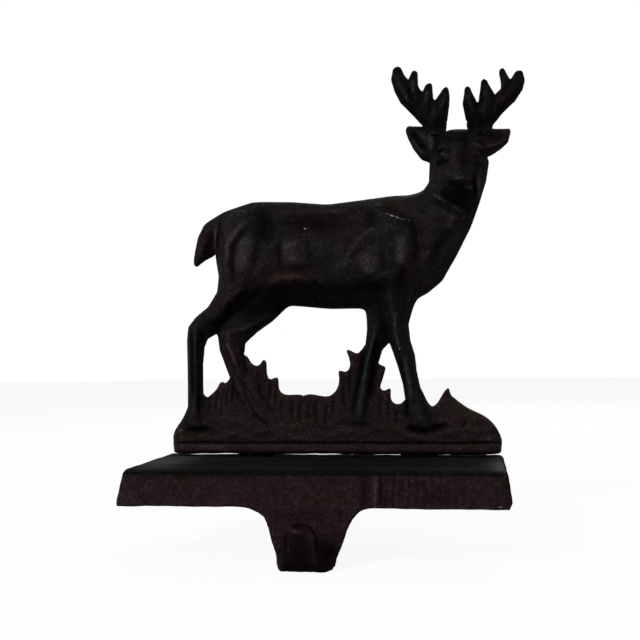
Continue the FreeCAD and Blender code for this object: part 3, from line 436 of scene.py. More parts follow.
def along_path(
    path: Sequence[Point], x: np.ndarray, z: np.ndarray
) -> tuple[np.ndarray, np.ndarray, np.ndarray]:
    """Measures points against an open path.

    Args:
        path: the path's corners, as (x, z).
        x: the points' x.
        z: the points' z.

    Returns:
        The distance to the path, the side of it as +1 on its left and -1 on its right, and the share of its
        length at which the nearest place lies.
    """
    corners = np.asarray(path, float)
    steps = np.diff(corners, axis=0)
    lengths = np.linalg.norm(steps, axis=1)
    starts = np.concatenate([[0.0], np.cumsum(lengths)])
    best = np.full(len(x), np.inf)
    side = np.ones(len(x))
    share = np.zeros(len(x))
    for corner, step, length, start in zip(corners, steps, lengths, starts):
        px, pz = x - corner[0], z - corner[1]
        t = np.clip((px * step[0] + pz * step[1]) / (length * length), 0.0, 1.0)
        gap = np.hypot(px - t * step[0], pz - t * step[1])
        nearer = gap < best
        best = np.where(nearer, gap, best)
        side = np.where(nearer, np.sign(step[0] * pz - step[1] * px), side)
        share = np.where(nearer, (start + t * length) / starts[-1], share)
    return best, side, share


def stroke_height(stroke: Stroke, x: np.ndarray, z: np.ndarray) -> np.ndarray:
    """How far a stroke raises the skin at each point, in millimetres.

    Args:
        stroke: the pass of the tool.
        x: the points' x.
        z: the points' z.

    Returns:
        The rise at each point, negative where the skin sinks.
    """
    reach = stroke.width * 4.0
    corners = np.asarray(stroke.path, float)
    low, high = corners.min(axis=0) - reach, corners.max(axis=0) + reach
    near = (x > low[0]) & (x < high[0]) & (z > low[1]) & (z < high[1])
    rise = np.zeros(len(x))
    if not near.any():
        return rise
    distance, side, share = along_path(stroke.path, x[near], z[near])
    taper = step_up(np.minimum(share, 1.0 - share), 0.0, 0.28)
    taper = 0.12 + 0.88 * taper * taper * (3.0 - 2.0 * taper)
    if stroke.touch is Touch.SWELL:
        shape = falloff(distance, stroke.width)
    else:
        shape = 0.5 * np.tanh(side * distance / 0.7) * np.exp(-distance / stroke.width)
    rise[near] = stroke.height * taper * shape
    return rise


def painted(marks: Sequence[Oval | Trail], x: np.ndarray, z: np.ndarray) -> np.ndarray:
    """Sum of painted values at each point.

    Args:
        marks: the ovals and trails.
        x: the points' x.
        z: the points' z.

    Returns:
        The value at each point.
    """
    total = np.zeros(len(x))
    for mark in marks:
        if isinstance(mark, Oval):
            across, up = (x - mark.x) / mark.half_x, (z - mark.z) / mark.half_z
            total += mark.value * np.exp(-(across**2) - up**2)
        else:
            total += mark.value * falloff(along_path(mark.path, x, z)[0], mark.width)
    return total


class Skin:
    """A casting's closed skin as arrays, in millimetres, with the moves that a modeller makes on it."""

    def __init__(self, piece: bpy.types.Object) -> None:
        """Reads the skin of a piece and its neighbours."""
        self.piece = piece
        mesh = piece.data
        count = len(mesh.vertices)
        flat = np.empty(count * 3)
        mesh.vertices.foreach_get("co", flat)
        self.points = flat.reshape(-1, 3) / MM
        pairs = np.empty(len(mesh.edges) * 2, dtype=np.int64)
        mesh.edges.foreach_get("vertices", pairs)
        pairs = pairs.reshape(-1, 2)
        both = np.concatenate([pairs, pairs[:, ::-1]])
        both = both[np.argsort(both[:, 0], kind="stable")]
        self.neighbours = both[:, 1]
        self.degree = np.bincount(both[:, 0], minlength=count)
        self.starts = np.concatenate([[0], np.cumsum(self.degree)[:-1]])

    def mean_of_neighbours(self, values: np.ndarray) -> np.ndarray:
        """The mean of each point's neighbours, for a row of values or of vectors."""
        total = np.add.reduceat(values[self.neighbours], self.starts, axis=0)
        degree = self.degree if values.ndim == 1 else self.degree[:, None]
        return total / degree

    def soften(self, values: np.ndarray, rounds: int) -> np.ndarray:
        """Values evened with their neighbours' a number of times."""
        for _ in range(rounds):
            values = 0.5 * (values + self.mean_of_neighbours(values))
        return values

    def smooth(self, rounds: int) -> None:
        """Evens the skin in every direction and lets it out again, so that it keeps its size."""
        for _ in range(rounds):
            for share in (0.5, -0.53):
                self.points += share * (self.mean_of_neighbours(self.points) - self.points)

    def smooth_depth(self, rounds: int, weight: np.ndarray) -> None:
        """Evens only how far the skin stands off the back, so that the outline stays."""
        depth = self.points[:, 1].copy()
        for _ in range(rounds):
            depth += 0.5 * weight * (self.mean_of_neighbours(depth) - depth)
        self.points[:, 1] = depth

    def smooth_outline(self, rounds: int, weight: np.ndarray) -> None:
        """Evens the skin up and across, not in depth, so that long outlines lose their corners."""
        for _ in range(rounds):
            moved = self.mean_of_neighbours(self.points) - self.points
            self.points[:, [0, 2]] += 0.5 * weight[:, None] * moved[:, [0, 2]]

    def write(self) -> None:
        """Puts the points back on the piece."""
        self.piece.data.vertices.foreach_set("co", (self.points * MM).ravel())
        self.piece.data.update()

    def normals(self) -> np.ndarray:
        """The skin's outward directions."""
        self.write()
        flat = np.empty(len(self.points) * 3, dtype=np.float32)
        self.piece.data.vertex_normals.foreach_get("vector", flat)
        return flat.reshape(-1, 3).astype(float)

    def ridges(self, rounds: int) -> np.ndarray:
        """How far each point stands out of the skin round it, in millimetres; hollows are negative."""
        mean = self.soften(self.points, rounds)
        return ((self.points - mean) * self.normals()).sum(axis=1)

    def paint(self, name: str, values: np.ndarray) -> None:
        """Keeps a value of every point as a named attribute for the finishes."""
        layer = self.piece.data.attributes.new(name, "FLOAT", "POINT")
        layer.data.foreach_set("value", values.astype(np.float32))


def new_piece(name: str, mesh: bpy.types.Mesh) -> bpy.types.Object:
    """Puts a mesh in the scene as a piece of that name."""
    mesh.name = name
    piece = bpy.data.objects.new(name, mesh)
    bpy.context.scene.collection.objects.link(piece)
    return piece


def apply_modifier(piece: bpy.types.Object, modifier: bpy.types.Modifier) -> None:
    """Turns what a modifier makes of a piece into the piece's own mesh, and removes the modifier."""
    graph = bpy.context.evaluated_depsgraph_get()
    mesh = bpy.data.meshes.new_from_object(piece.evaluated_get(graph))
    piece.modifiers.remove(modifier)
    old = piece.data
    piece.data = mesh
    bpy.data.meshes.remove(old)
    mesh.name = piece.name


def skin_of_node(node: str, name: str, voxel_mm: float) -> bpy.types.Object:
    """A closed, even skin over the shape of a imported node, ready for modelling.

    Args:
        node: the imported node.
        name: the new piece's name.
        voxel_mm: the size of the skin's faces.

    Returns:
        The new piece, with its place in its mesh.
    """
    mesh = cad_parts[node].data.copy()
    loose = bmesh.new()
    loose.from_mesh(mesh)
    bmesh.ops.remove_doubles(loose, verts=loose.verts, dist=0.002 * MM)
    loose.to_mesh(mesh)
    loose.free()
    mesh.materials.clear()
    piece = new_piece(name, mesh)
    remesh = piece.modifiers.new("even_skin", "REMESH")
    remesh.mode = "VOXEL"
    remesh.voxel_size = voxel_mm * MM
    apply_modifier(piece, remesh)
    return piece


def thin_out(piece: bpy.types.Object, chosen: np.ndarray, ratio: float) -> None:
    """Merges faces where the skin is flat.

    Args:
        piece: the piece.
        chosen: which points may go.
        ratio: the share of faces that stays.
    """
    group = piece.vertex_groups.new(name="flat")
    group.add([int(i) for i in np.nonzero(chosen)[0]], 1.0, "REPLACE")
    modifier = piece.modifiers.new("thin", "DECIMATE")
    modifier.ratio = ratio
    modifier.vertex_group = group.name
    modifier.vertex_group_factor = 10.0
    apply_modifier(piece, modifier)
    piece.vertex_groups.clear()


class Graph:
    """Adds nodes to a tree and joins their sockets."""

    def __init__(self, tree: bpy.types.NodeTree) -> None:
        """Takes the tree to work on."""
        self.tree = tree

    def node(self, kind: str, **settings: object) -> bpy.types.Node:
        """A new node with its properties set."""
        made = self.tree.nodes.new(kind)
        for key, value in settings.items():
            setattr(made, key, value)
        return made

    def feed(self, socket: bpy.types.NodeSocket, value: object) -> None:
        """Joins a socket to another, or sets its plain value."""
        if isinstance(value, bpy.types.NodeSocket):
            self.tree.links.new(value, socket)
        elif isinstance(value, tuple) and len(value) == 3 and socket.type == "RGBA":
            socket.default_value = (*value, 1.0)
        else:
            socket.default_value = value

    def math(self, operation: str, first: object, second: object = 0.0) -> bpy.types.NodeSocket:
        """The result of a sum on two values."""
        made = self.node("ShaderNodeMath", operation=operation)
        self.feed(made.inputs[0], first)
        self.feed(made.inputs[1], second)
        return made.outputs[0]

    def blend(self, share: object, first: object, second: object) -> bpy.types.NodeSocket:
        """A colour between two."""
        made = self.node("ShaderNodeMix", data_type="RGBA")
        self.feed(made.inputs["Factor"], share)
        self.feed(made.inputs["A"], first)
        self.feed(made.inputs["B"], second)
        return made.outputs["Result"]

    def scaled(self, colour: object, factor: object) -> bpy.types.NodeSocket:
        """A colour made lighter or darker."""
        made = self.node("ShaderNodeVectorMath", operation="SCALE")
        self.feed(made.inputs[0], colour)
        self.feed(made.inputs["Scale"], factor)
        return made.outputs[0]

    def band(
        self, value: object, low: float, high: float, start: float = 0.0, end: float = 1.0
    ) -> bpy.types.NodeSocket:
        """A value spread from one range to another, smooth at both ends."""
        made = self.node("ShaderNodeMapRange", interpolation_type="SMOOTHSTEP", clamp=True)
        for key, number in zip(("From Min", "From Max", "To Min", "To Max"), (low, high, start, end)):
            made.inputs[key].default_value = number
        self.feed(made.inputs["Value"], value)
        return made.outputs["Result"]

    def noise(
        self, place: object, scale: object, detail: float = 3.0, rough: float = 0.55
    ) -> bpy.types.NodeSocket:
        """Noise at a place."""
        made = self.node("ShaderNodeTexNoise", noise_dimensions="3D")
        self.feed(made.inputs["Vector"], place)
        self.feed(made.inputs["Scale"], scale)
        made.inputs["Detail"].default_value = detail
        made.inputs["Roughness"].default_value = rough
        return made.outputs["Fac"]

    def attribute(self, name: str) -> bpy.types.NodeSocket:
        """A named value of the surface."""
        return self.node("ShaderNodeAttribute", attribute_name=name).outputs["Fac"]

    def place(self) -> bpy.types.NodeSocket:
        """The place on the piece, in its own coordinates."""
        return self.node("ShaderNodeTexCoord").outputs["Object"]


def new_group(
    name: str, inputs: dict[str, tuple[str, object]], outputs: dict[str, str]
) -> tuple[Graph, bpy.types.Node, bpy.types.Node]:
    """A shader node group with named sockets.

    Args:
        name: the group's name.
        inputs: each input's kind and first value.
        outputs: each output's kind.

    Returns:
        The group's graph, its input node and its output node.
    """
    group = bpy.data.node_groups.new(name, "ShaderNodeTree")
    kinds = {"value": "NodeSocketFloat", "vector": "NodeSocketVector", "colour": "NodeSocketColor"}
    for key, (kind, first) in inputs.items():
        socket = group.interface.new_socket(key, in_out="INPUT", socket_type=kinds[kind])
        if first is not None:
            socket.default_value = first
    for key, kind in outputs.items():
        group.interface.new_socket(key, in_out="OUTPUT", socket_type=kinds[kind])
    graph = Graph(group)
    return graph, graph.node("NodeGroupInput"), graph.node("NodeGroupOutput")


def cast_skin_group() -> None:
    """The pebbled skin that a sand mould leaves: its height, painted glints on its pebble tops and its dark
    pits.
    """
    graph, given, result = new_group(
        "cast_skin",
        {"Place": ("vector", None), "Pebble": ("value", 1200.0), "Grain": ("value", 3200.0)},
        {"Height": "value", "Tops": "value", "Pits": "value"},
    )
    place = given.outputs["Place"]
    pebble = graph.node("ShaderNodeTexVoronoi", feature="SMOOTH_F1")
    pebble.inputs["Smoothness"].default_value = 0.7
    graph.feed(pebble.inputs["Vector"], place)
    graph.feed(pebble.inputs["Scale"], given.outputs["Pebble"])
    swirl = graph.noise(place, graph.math("MULTIPLY", given.outputs["Pebble"], 0.8), 3.0, 0.6)
    fine = graph.noise(place, given.outputs["Grain"], 3.0, 0.6)
    broad = graph.noise(place, graph.math("MULTIPLY", given.outputs["Pebble"], 0.25), 3.0, 0.6)
    bumps = graph.math("SUBTRACT", 0.8, pebble.outputs["Distance"])
    height = graph.math("ADD", graph.math("MULTIPLY", bumps, 0.35), graph.math("MULTIPLY", swirl, 0.9))
    height = graph.math("ADD", height, graph.math("MULTIPLY", fine, 0.3))
    height = graph.math("ADD", height, graph.math("MULTIPLY", broad, 0.8))
    holes = graph.noise(place, graph.math("MULTIPLY", given.outputs["Pebble"], 0.45), 4.0, 0.7)
    pits = graph.band(holes, 0.6, 0.78)
    graph.feed(result.inputs["Height"], graph.math("SUBTRACT", height, graph.math("MULTIPLY", pits, 0.6)))
    graph.feed(result.inputs["Tops"], graph.band(swirl, 0.51, 0.68))
    graph.feed(result.inputs["Pits"], pits)


def wear_and_shade_group() -> None:
    """Worn edges with a painted sheen where the skin stands out, and painted shade where it lies in, both
    broken up by noise.
    """
    graph, given, result = new_group(
        "edge_wear",
        {
            "Place": ("vector", None),
            "Ridge": ("value", 0.0),
            "Break": ("value", 500.0),
            "Reach": ("value", 0.10),
        },
        {"Worn": "value", "Grimy": "value"},
    )
    broken = graph.noise(given.outputs["Place"], given.outputs["Break"], 4.0, 0.65)
    level = graph.math("DIVIDE", given.outputs["Ridge"], given.outputs["Reach"])
    raised = graph.math("ADD", level, graph.math("MULTIPLY", graph.math("SUBTRACT", broken, 0.5), 1.4))
    graph.feed(result.inputs["Worn"], graph.band(raised, 0.35, 1.3))
    sunk = graph.math("SUBTRACT", graph.math("MULTIPLY", level, -1.0), graph.math("MULTIPLY", broken, 0.3))
    graph.feed(result.inputs["Grimy"], graph.band(sunk, 0.05, 1.1))


@dataclass(frozen=True)
class IronFinish:
    """Lacquered cast iron: its tones, its gloss and how coarse its skin is."""

    name: str
    cool: Colour
    warm: Colour
    rough_low: float
    rough_high: float
    specular: float
    skin_depth_mm: float
    pebble: float
    speckle: float
    cloud: float = 70.0
    edge_gain: float = 1.1
    # The pale colour of chips to bare metal, also used for painted glints
    bare_metal_and_glint: Colour = (0.27, 0.26, 0.25)
    earth: Colour = (0.0078, 0.0062, 0.0040)

    def material(self) -> bpy.types.Material:
        """The finish as a material that reads the piece's own coordinates and painted values."""
        made = bpy.data.materials.new(self.name)
        made.use_nodes = True
        made.node_tree.nodes.clear()
        graph = Graph(made.node_tree)
        place = graph.place()
        skin = graph.node("ShaderNodeGroup", node_tree=bpy.data.node_groups["cast_skin"])
        graph.feed(skin.inputs["Place"], place)
        skin.inputs["Pebble"].default_value = self.pebble
        skin.inputs["Grain"].default_value = self.pebble * 2.6
        # Worn edges with their painted sheen, and painted shade in hollows
        wear_and_shade = graph.node("ShaderNodeGroup", node_tree=bpy.data.node_groups["edge_wear"])
        graph.feed(wear_and_shade.inputs["Place"], place)
        graph.feed(wear_and_shade.inputs["Ridge"], graph.attribute("ridge"))
        dull = graph.attribute("dull")
        rugged = graph.math("SUBTRACT", 1.0, graph.math("MULTIPLY", dull, 0.6))
        stops = self.stops(graph, place, skin, wear_and_shade, rugged)
        colour = graph.scaled(self.hue(graph, place), graph.math("POWER", 2.0, stops))
        # Chips to bare metal and painted glints, in the pale colour
        bare_metal_and_glint = graph.band(graph.attribute("worn"), 0.3, 0.75)
        final = graph.blend(bare_metal_and_glint, colour, self.bare_metal_and_glint)
        rough = graph.band(graph.noise(place, self.cloud * 3.0), 0.3, 0.7, self.rough_low, self.rough_high)
        rough = graph.math("SUBTRACT", rough, graph.math("MULTIPLY", wear_and_shade.outputs["Worn"], 0.08))
        rough = graph.math("ADD", rough, graph.math("MULTIPLY", dull, 0.42))
        bump = graph.node("ShaderNodeBump")
        bump.inputs["Strength"].default_value = 1.0
        bump.inputs["Distance"].default_value = self.skin_depth_mm * MM
        graph.feed(bump.inputs["Height"], graph.math("MULTIPLY", skin.outputs["Height"], rugged))
        shader = graph.node("ShaderNodeBsdfPrincipled")
        graph.feed(shader.inputs["Base Color"], final)
        graph.feed(shader.inputs["Roughness"], rough)
        graph.feed(shader.inputs["Normal"], bump.outputs["Normal"])
        shader.inputs["Specular IOR Level"].default_value = self.specular
        out = graph.node("ShaderNodeOutputMaterial")
        graph.feed(out.inputs["Surface"], shader.outputs["BSDF"])
        return made

    def hue(self, graph: Graph, place: bpy.types.NodeSocket) -> bpy.types.NodeSocket:
        """The lacquer's colour between its cool and its warm tone, clouded by noise."""
        clouds = graph.math("SUBTRACT", graph.noise(place, self.cloud, 4.0, 0.6), 0.5)
        tone = graph.math("ADD", graph.attribute("warm"), graph.math("MULTIPLY", clouds, 1.7))
        colour = graph.blend(graph.band(tone, -0.4, 0.8), self.cool, self.warm)
        patches = graph.band(graph.noise(place, self.cloud * 1.7, 3.0, 0.6), 0.52, 0.72, 0.0, 0.6)
        return graph.blend(patches, colour, self.earth)

    def stops(
        self,
        graph: Graph,
        place: bpy.types.NodeSocket,
        skin: bpy.types.Node,
        wear_and_shade: bpy.types.Node,
        rugged: bpy.types.NodeSocket,
    ) -> bpy.types.NodeSocket:
        """How much lighter or darker each place is than the plain lacquer, in doublings.

        Args:
            graph: the material's graph.
            place: the place on the piece.
            skin: the cast skin's node.
            wear_and_shade: the node of the worn edges with their painted sheen and of the painted shade in
                hollows.
            rugged: 1 where the skin is as rough as cast, less where it is dull and even.

        Returns:
            The painted light and shade with painted pebble glints, pits, clouds, worn edges with their
            painted sheen, and painted shade in hollows laid over it.
        """
        patchy = graph.math("SUBTRACT", graph.noise(place, self.cloud * 4.0, 4.0, 0.65), 0.5)
        grit = graph.band(graph.noise(place, self.pebble * 1.9, 2.0, 0.6), 0.3, 0.7, -1.0, 1.0)
        total = graph.math("ADD", graph.attribute("tone"), graph.math("MULTIPLY", patchy, 1.6))
        grit = graph.math("MULTIPLY", grit, graph.math("MULTIPLY", rugged, self.speckle * 0.5))
        total = graph.math("ADD", total, grit)
        # Painted glints on the pebble tops
        strength = graph.math("MULTIPLY", rugged, self.speckle * 0.7)
        total = graph.math("ADD", total, graph.math("MULTIPLY", skin.outputs["Tops"], strength))
        # Worn edges with a painted sheen, then painted shade in hollows
        total = graph.math("ADD", total, graph.math("MULTIPLY", wear_and_shade.outputs["Worn"], self.edge_gain))
        total = graph.math("SUBTRACT", total, graph.math("MULTIPLY", wear_and_shade.outputs["Grimy"], 0.9))
        return graph.math("SUBTRACT", total, graph.math("MULTIPLY", skin.outputs["Pits"], 0.7))


FIGURE_FINISH = IronFinish("figure_lacquered_iron", (0.0053, 0.0054, 0.0062), (0.0092, 0.0052, 0.0054),
                           0.40, 0.56, 0.009, 0.20, 1150.0, 1.5)
TRAY_FINISH = IronFinish("tray_cast_iron", (0.0057, 0.0061, 0.0060), (0.0136, 0.0072, 0.0082),
                         0.46, 0.60, 0.006, 0.34, 850.0, 1.15)


@dataclass(frozen=True)
class SteelFinish:
    """Blackened steel of the screws, turned on a lathe."""

    name: str = "blackened_screw_steel"
    colour: Colour = (0.10, 0.095, 0.09)
    worn: Colour = (0.26, 0.25, 0.24)

    def material(self) -> bpy.types.Material:
        """The finish as a material with fine turning marks."""
        made = bpy.data.materials.new(self.name)
        made.use_nodes = True
        made.node_tree.nodes.clear()
        graph = Graph(made.node_tree)
        place = graph.place()
        wide = graph.noise(place, 500.0)
        fine = graph.noise(place, 4200.0, 3.0, 0.7)
        shader = graph.node("ShaderNodeBsdfPrincipled")
        colour = graph.blend(graph.band(wide, 0.45, 0.7), self.colour, self.worn)
        graph.feed(shader.inputs["Base Color"], colour)
        graph.feed(shader.inputs["Roughness"], graph.band(fine, 0.3, 0.7, 0.32, 0.5))
        shader.inputs["Metallic"].default_value = 1.0
        bump = graph.node("ShaderNodeBump")
        bump.inputs["Strength"].default_value = 0.6
        bump.inputs["Distance"].default_value = 0.03 * MM
        graph.feed(bump.inputs["Height"], fine)
        graph.feed(shader.inputs["Normal"], bump.outputs["Normal"])
        out = graph.node("ShaderNodeOutputMaterial")
        graph.feed(out.inputs["Surface"], shader.outputs["BSDF"])
        return made


def finish_piece(piece: bpy.types.Object, node: str) -> None:
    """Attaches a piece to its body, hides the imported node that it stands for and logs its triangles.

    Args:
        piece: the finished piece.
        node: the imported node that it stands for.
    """
    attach(piece, BODY)
    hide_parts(node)
    triangles = sum(len(face.vertices) - 2 for face in piece.data.polygons)
    log.info("%s: %d triangles", piece.name, triangles)


@dataclass
class DeerFigure:
    """The standing deer with its ground, one flat-backed casting."""

    back_y: float = 52.0
    voxel: float = 0.48
    kept_share: float = 0.69
    lip_top: float = 17.7
    front_limit_y: float = 33.6
    let_out: float = 0.24
    antler_let_out: float = 0.30
    trunk_let_out: float = 0.16
    crispness: float = 0.4
    lip_drop: float = 0.37
    cut_width: float = 0.8
    cut_depth: float = 0.45
    body_rounds: int = 70
    face_rounds: int = 130
    outline_rounds: int = 60
    side_shade: float = 1.5
    rim_shade: float = 0.9
    antler_shade: float = 1.05
    leg_shade: float = 0.45
    under_shade: float = 2.0
    strokes: tuple[Stroke, ...] = field(
        default_factory=lambda: HEAD_STROKES + EAR_STROKES + ANTLER_STROKES + NECK_STROKES + SHOULDER_STROKES
        + BARREL_STROKES + HAUNCH_STROKES + LEG_STROKES
    )

    def softness(self, z: np.ndarray) -> np.ndarray:
        """How freely each place flows together: fully on the body, less on the face, legs and antlers."""
        body = step_up(z, 66.0, 74.0)
        face = 1.0 / (1.0 + np.exp(-(z - 118.0) / 1.5))
        return (0.25 + 0.75 * body) * (1.0 - 0.7 * face)

    def face(self, x: np.ndarray, z: np.ndarray) -> np.ndarray:
        """1 on the deer's face and 0 away from it."""
        across = step_up(x, 43.0, 45.0) * (1.0 - step_up(x, 62.0, 64.0))
        return across * step_up(z, 121.0, 124.0) * (1.0 - step_up(z, 138.0, 140.0))

    def antlers(self, z: np.ndarray) -> np.ndarray:
        """1 on the antlers and 0 below them."""
        return step_up(z, 141.0, 147.0)

    def trunk(self, x: np.ndarray, z: np.ndarray) -> np.ndarray:
        """1 on the body and neck, whose outline is one long curve, and 0 on the tail, head and legs."""
        beside_tail = step_up(x, -46.0, -42.0)
        upper = np.maximum(beside_tail, step_up(z, 106.0, 109.0))
        return upper * step_up(z, 62.0, 70.0) * (1.0 - step_up(z, 118.0, 122.0))

    def facing(self, skin: Skin) -> np.ndarray:
        """1 where the skin looks to the front and 0 on its sides and back."""
        return step_up(-skin.normals()[:, 1], 0.12, 0.52)

    def build(self) -> Skin:
        """Makes the skin and models it.

        Returns:
            The modelled skin.
        """
        skin = Skin(skin_of_node("deer_figure", "deer_figure_skin", self.voxel))
        skin.smooth(3)
        x, z = skin.points[:, 0].copy(), skin.points[:, 2].copy()
        skin.smooth_depth(self.body_rounds, self.facing(skin) * self.softness(z))
        for _ in range(2):
            skin.smooth_depth(self.face_rounds, self.facing(skin) * self.face(x, z))
        skin.smooth_outline(self.outline_rounds, self.trunk(x, z))
        skin.smooth(3)
        self.let_out_edges(skin)
        self.model(skin)
        self.work_ground(skin)
        skin.smooth(1)
        self.flatten_back(skin)
        skin.write()
        return skin

    def let_out_edges(self, skin: Skin) -> None:
        """Moves the sides outwards a little, most on the antlers, where smoothing drew them in."""
        outward = skin.normals()[:, [0, 2]]
        x, y, z = skin.points.T
        amount = self.let_out + (self.antler_let_out - self.let_out) * step_up(z, 140.0, 146.0)
        amount = (amount + self.trunk_let_out * self.trunk(x, z)) * step_up(z, 15.5, 17.0)
        skin.points[:, [0, 2]] += outward * amount[:, None]
        tips = step_up(z, 141.0, 146.0) + 0.6 * (1.0 - step_up(z, 54.0, 60.0)) * step_up(y, 43.0, 45.0)
        sharp = (skin.points - skin.soften(skin.points, 26))[:, [0, 2]]
        skin.points[:, [0, 2]] += self.crispness * sharp * tips[:, None] * step_up(z, 19.0, 21.0)[:, None]
        skin.smooth_outline(3, step_up(z, 141.0, 146.0))
        skin.points[:, 2] += painted(OUTLINE_PULLS, x, z)

    def model(self, skin: Skin) -> None:
        """Works every stroke into the face, and lets them flow into each other."""
        x, z = skin.points[:, 0], skin.points[:, 2]
        rise = np.zeros(len(x))
        for stroke in self.strokes:
            rise += stroke_height(stroke, x, z)
        soft = self.softness(z)
        rise = (1.0 - soft) * skin.soften(rise, 1) + soft * skin.soften(rise, 3)
        self.push(skin, rise)

    def push(self, skin: Skin, rise: np.ndarray) -> None:
        """Raises the skin towards the front, within the casting's greatest depth."""
        skin.points[:, 1] -= rise * self.facing(skin)
        skin.points[:, 1] = np.maximum(skin.points[:, 1], self.front_limit_y)

    def work_ground(self, skin: Skin) -> None:
        """Cuts the blades of grass, the rolling ground, and the groove over the wavering lip."""
        x, y, z = skin.points.T
        near_back = step_up(y, 41.5, 42.5)
        rise = np.zeros(len(x))
        for cut in self.grass():
            rise += stroke_height(cut, x, z)
        rise = skin.soften(rise * near_back, 1)
        rolling = 0.30 * np.sin(x * 0.21 + 0.6 * np.sin(z * 0.7)) * np.sin(z * 0.9 + x * 0.05)
        rolling += 0.20 * np.sin(x * 0.47 + 1.3) * np.sin(z * 1.3 - x * 0.11)
        rise += near_back * rolling * step_up(z, 18.6, 20.0) * (1.0 - step_up(z, 25.0, 31.0))
        rise -= 0.6 * falloff(z - self.lip_top - 0.5 - 0.12 * np.sin(x * 0.23), 0.5)
        rise += 0.16 * np.sin(x * 0.33) * np.sin(x * 0.071 + 1.0) * (1.0 - step_up(z, 17.1, 17.7))
        self.push(skin, rise)
        waver = 0.13 * np.sin(x * 0.17 + 1.9) + 0.06 * np.sin(x * 0.61 + 1.9 * np.sin(x * 0.11)) - 0.0012 * x
        low_edge = step_up(z, 13.6, 13.9) * (1.0 - step_up(z, 14.2, 15.6))
        skin.points[:, 2] += (waver - self.lip_drop) * low_edge

    def grass(self) -> list[Stroke]:
        """The cuts between the blades, each one slightly bowed."""
        cuts = []
        for foot, low, high, lean in GRASS_CUTS:
            bow = 0.25 * math.sin(foot * 1.7)
            middle = (foot + 0.4 * lean + bow, (low + high) / 2.0)
            cuts.append(swell(self.cut_width, -self.cut_depth, (foot, low), middle, (foot + lean, high)))
        return cuts

    def flatten_back(self, skin: Skin) -> None:
        """Keeps the back a plane, as the mould's board leaves it."""
        y = skin.points[:, 1]
        y[y > self.back_y - 0.35] = self.back_y

    def light_and_shade(self, skin: Skin) -> np.ndarray:
        """How light each place is: painted highlights and shade, painted shade in hollows, on the sides and
        rims, in the grass cuts, in the lip's groove and under the lip, painted light on raised forms, and
        darker antlers and legs.

        Args:
            skin: the modelled skin.

        Returns:
            The tone at each point, in doublings of the lacquer's colour.
        """
        x, y, z = skin.points.T
        forward = -skin.normals()[:, 1]
        in_front = step_up(forward, -0.3, 0.3)
        side = 1.0 - step_up(forward, 0.15, 0.75)
        # Painted highlights and shade from the listed ovals and trails
        tone = 1.3 * painted(FIGURE_LIGHT_AND_SHADE, x, z) * in_front
        # Painted shade in the grass cuts
        cuts = [trail(0.55, -0.5, *cut.path) for cut in self.grass()]
        tone += painted(cuts, x, z) * step_up(y, 41.5, 42.5) * in_front
        # Painted shade on the sides and on the antlers' rims
        rim = 1.0 - step_up(forward, 0.45, 0.95)
        tone -= self.side_shade * side * in_front + self.rim_shade * rim * self.antlers(z) * in_front
        # Painted light on raised forms and painted shade in hollows
        tone += 1.0 * np.clip(skin.ridges(30) / 0.5, -1.0, 0.6)
        # Painted shadow under the lip, and darker antlers and legs' middles
        low = 1.0 - step_up(z, 14.4, 15.2)
        legs = np.minimum(painted(LEG_LINES, x, z), 1.0) * (1.0 - step_up(z, 60.0, 68.0))
        shade = self.antler_shade * self.antlers(z) + self.leg_shade * legs + self.under_shade * low
        tone -= shade * in_front
        # Painted shade in the groove over the lip
        tone -= 1.0 * falloff(z - self.lip_top - 0.5, 0.45) * in_front
        return np.clip(tone + 0.1, -2.6, 1.6)

    def dress(self, material: bpy.types.Material) -> bpy.types.Object:
        """Builds the piece, thins its back and paints what the finish reads.

        Args:
            material: the figure's finish.

        Returns:
            The finished piece.
        """
        skin = self.build()
        thin_out(skin.piece, skin.points[:, 1] > self.back_y - 0.01, self.kept_share)
        skin = Skin(skin.piece)
        x, y, z = skin.points.T
        ground = step_up(y, 42.5, 44.0) * (1.0 - step_up(z, 56.0, 64.0))
        legs = np.minimum(painted(LEG_LINES, x, z), 1.0)
        ground = np.maximum(ground * (1.0 - legs), 1.0 - step_up(z, 21.0, 24.0))
        # Curvature that drives the worn edges with their painted sheen and the painted shade in hollows
        skin.paint("ridge", skin.ridges(4) * self.facing(skin) * (1.0 - 0.7 * self.antlers(z)))
        # Painted highlights and shade
        skin.paint("tone", self.light_and_shade(skin))
        clods = np.sin(x * 0.55 + 0.8 * np.sin(z * 0.5)) * np.sin(z * 0.43 + 1.0 + x * 0.2)
        skin.paint("warm", painted(WARMTH, x, z) * (1.0 - ground) + (0.7 + 0.45 * clods) * ground)
        # Chips to bare metal, with painted glints
        skin.paint("worn", painted(CHIPS_AND_GLINTS, x, z) * (y < self.back_y - 1.0))
        skin.paint("dull", 1.0 - step_up(-skin.normals()[:, 1], 0.1, 0.6))
        skin.piece.data.materials.clear()
        skin.piece.data.materials.append(material)
        skin.piece.data.shade_smooth()
        finish_piece(skin.piece, "deer_figure")
        return skin.piece


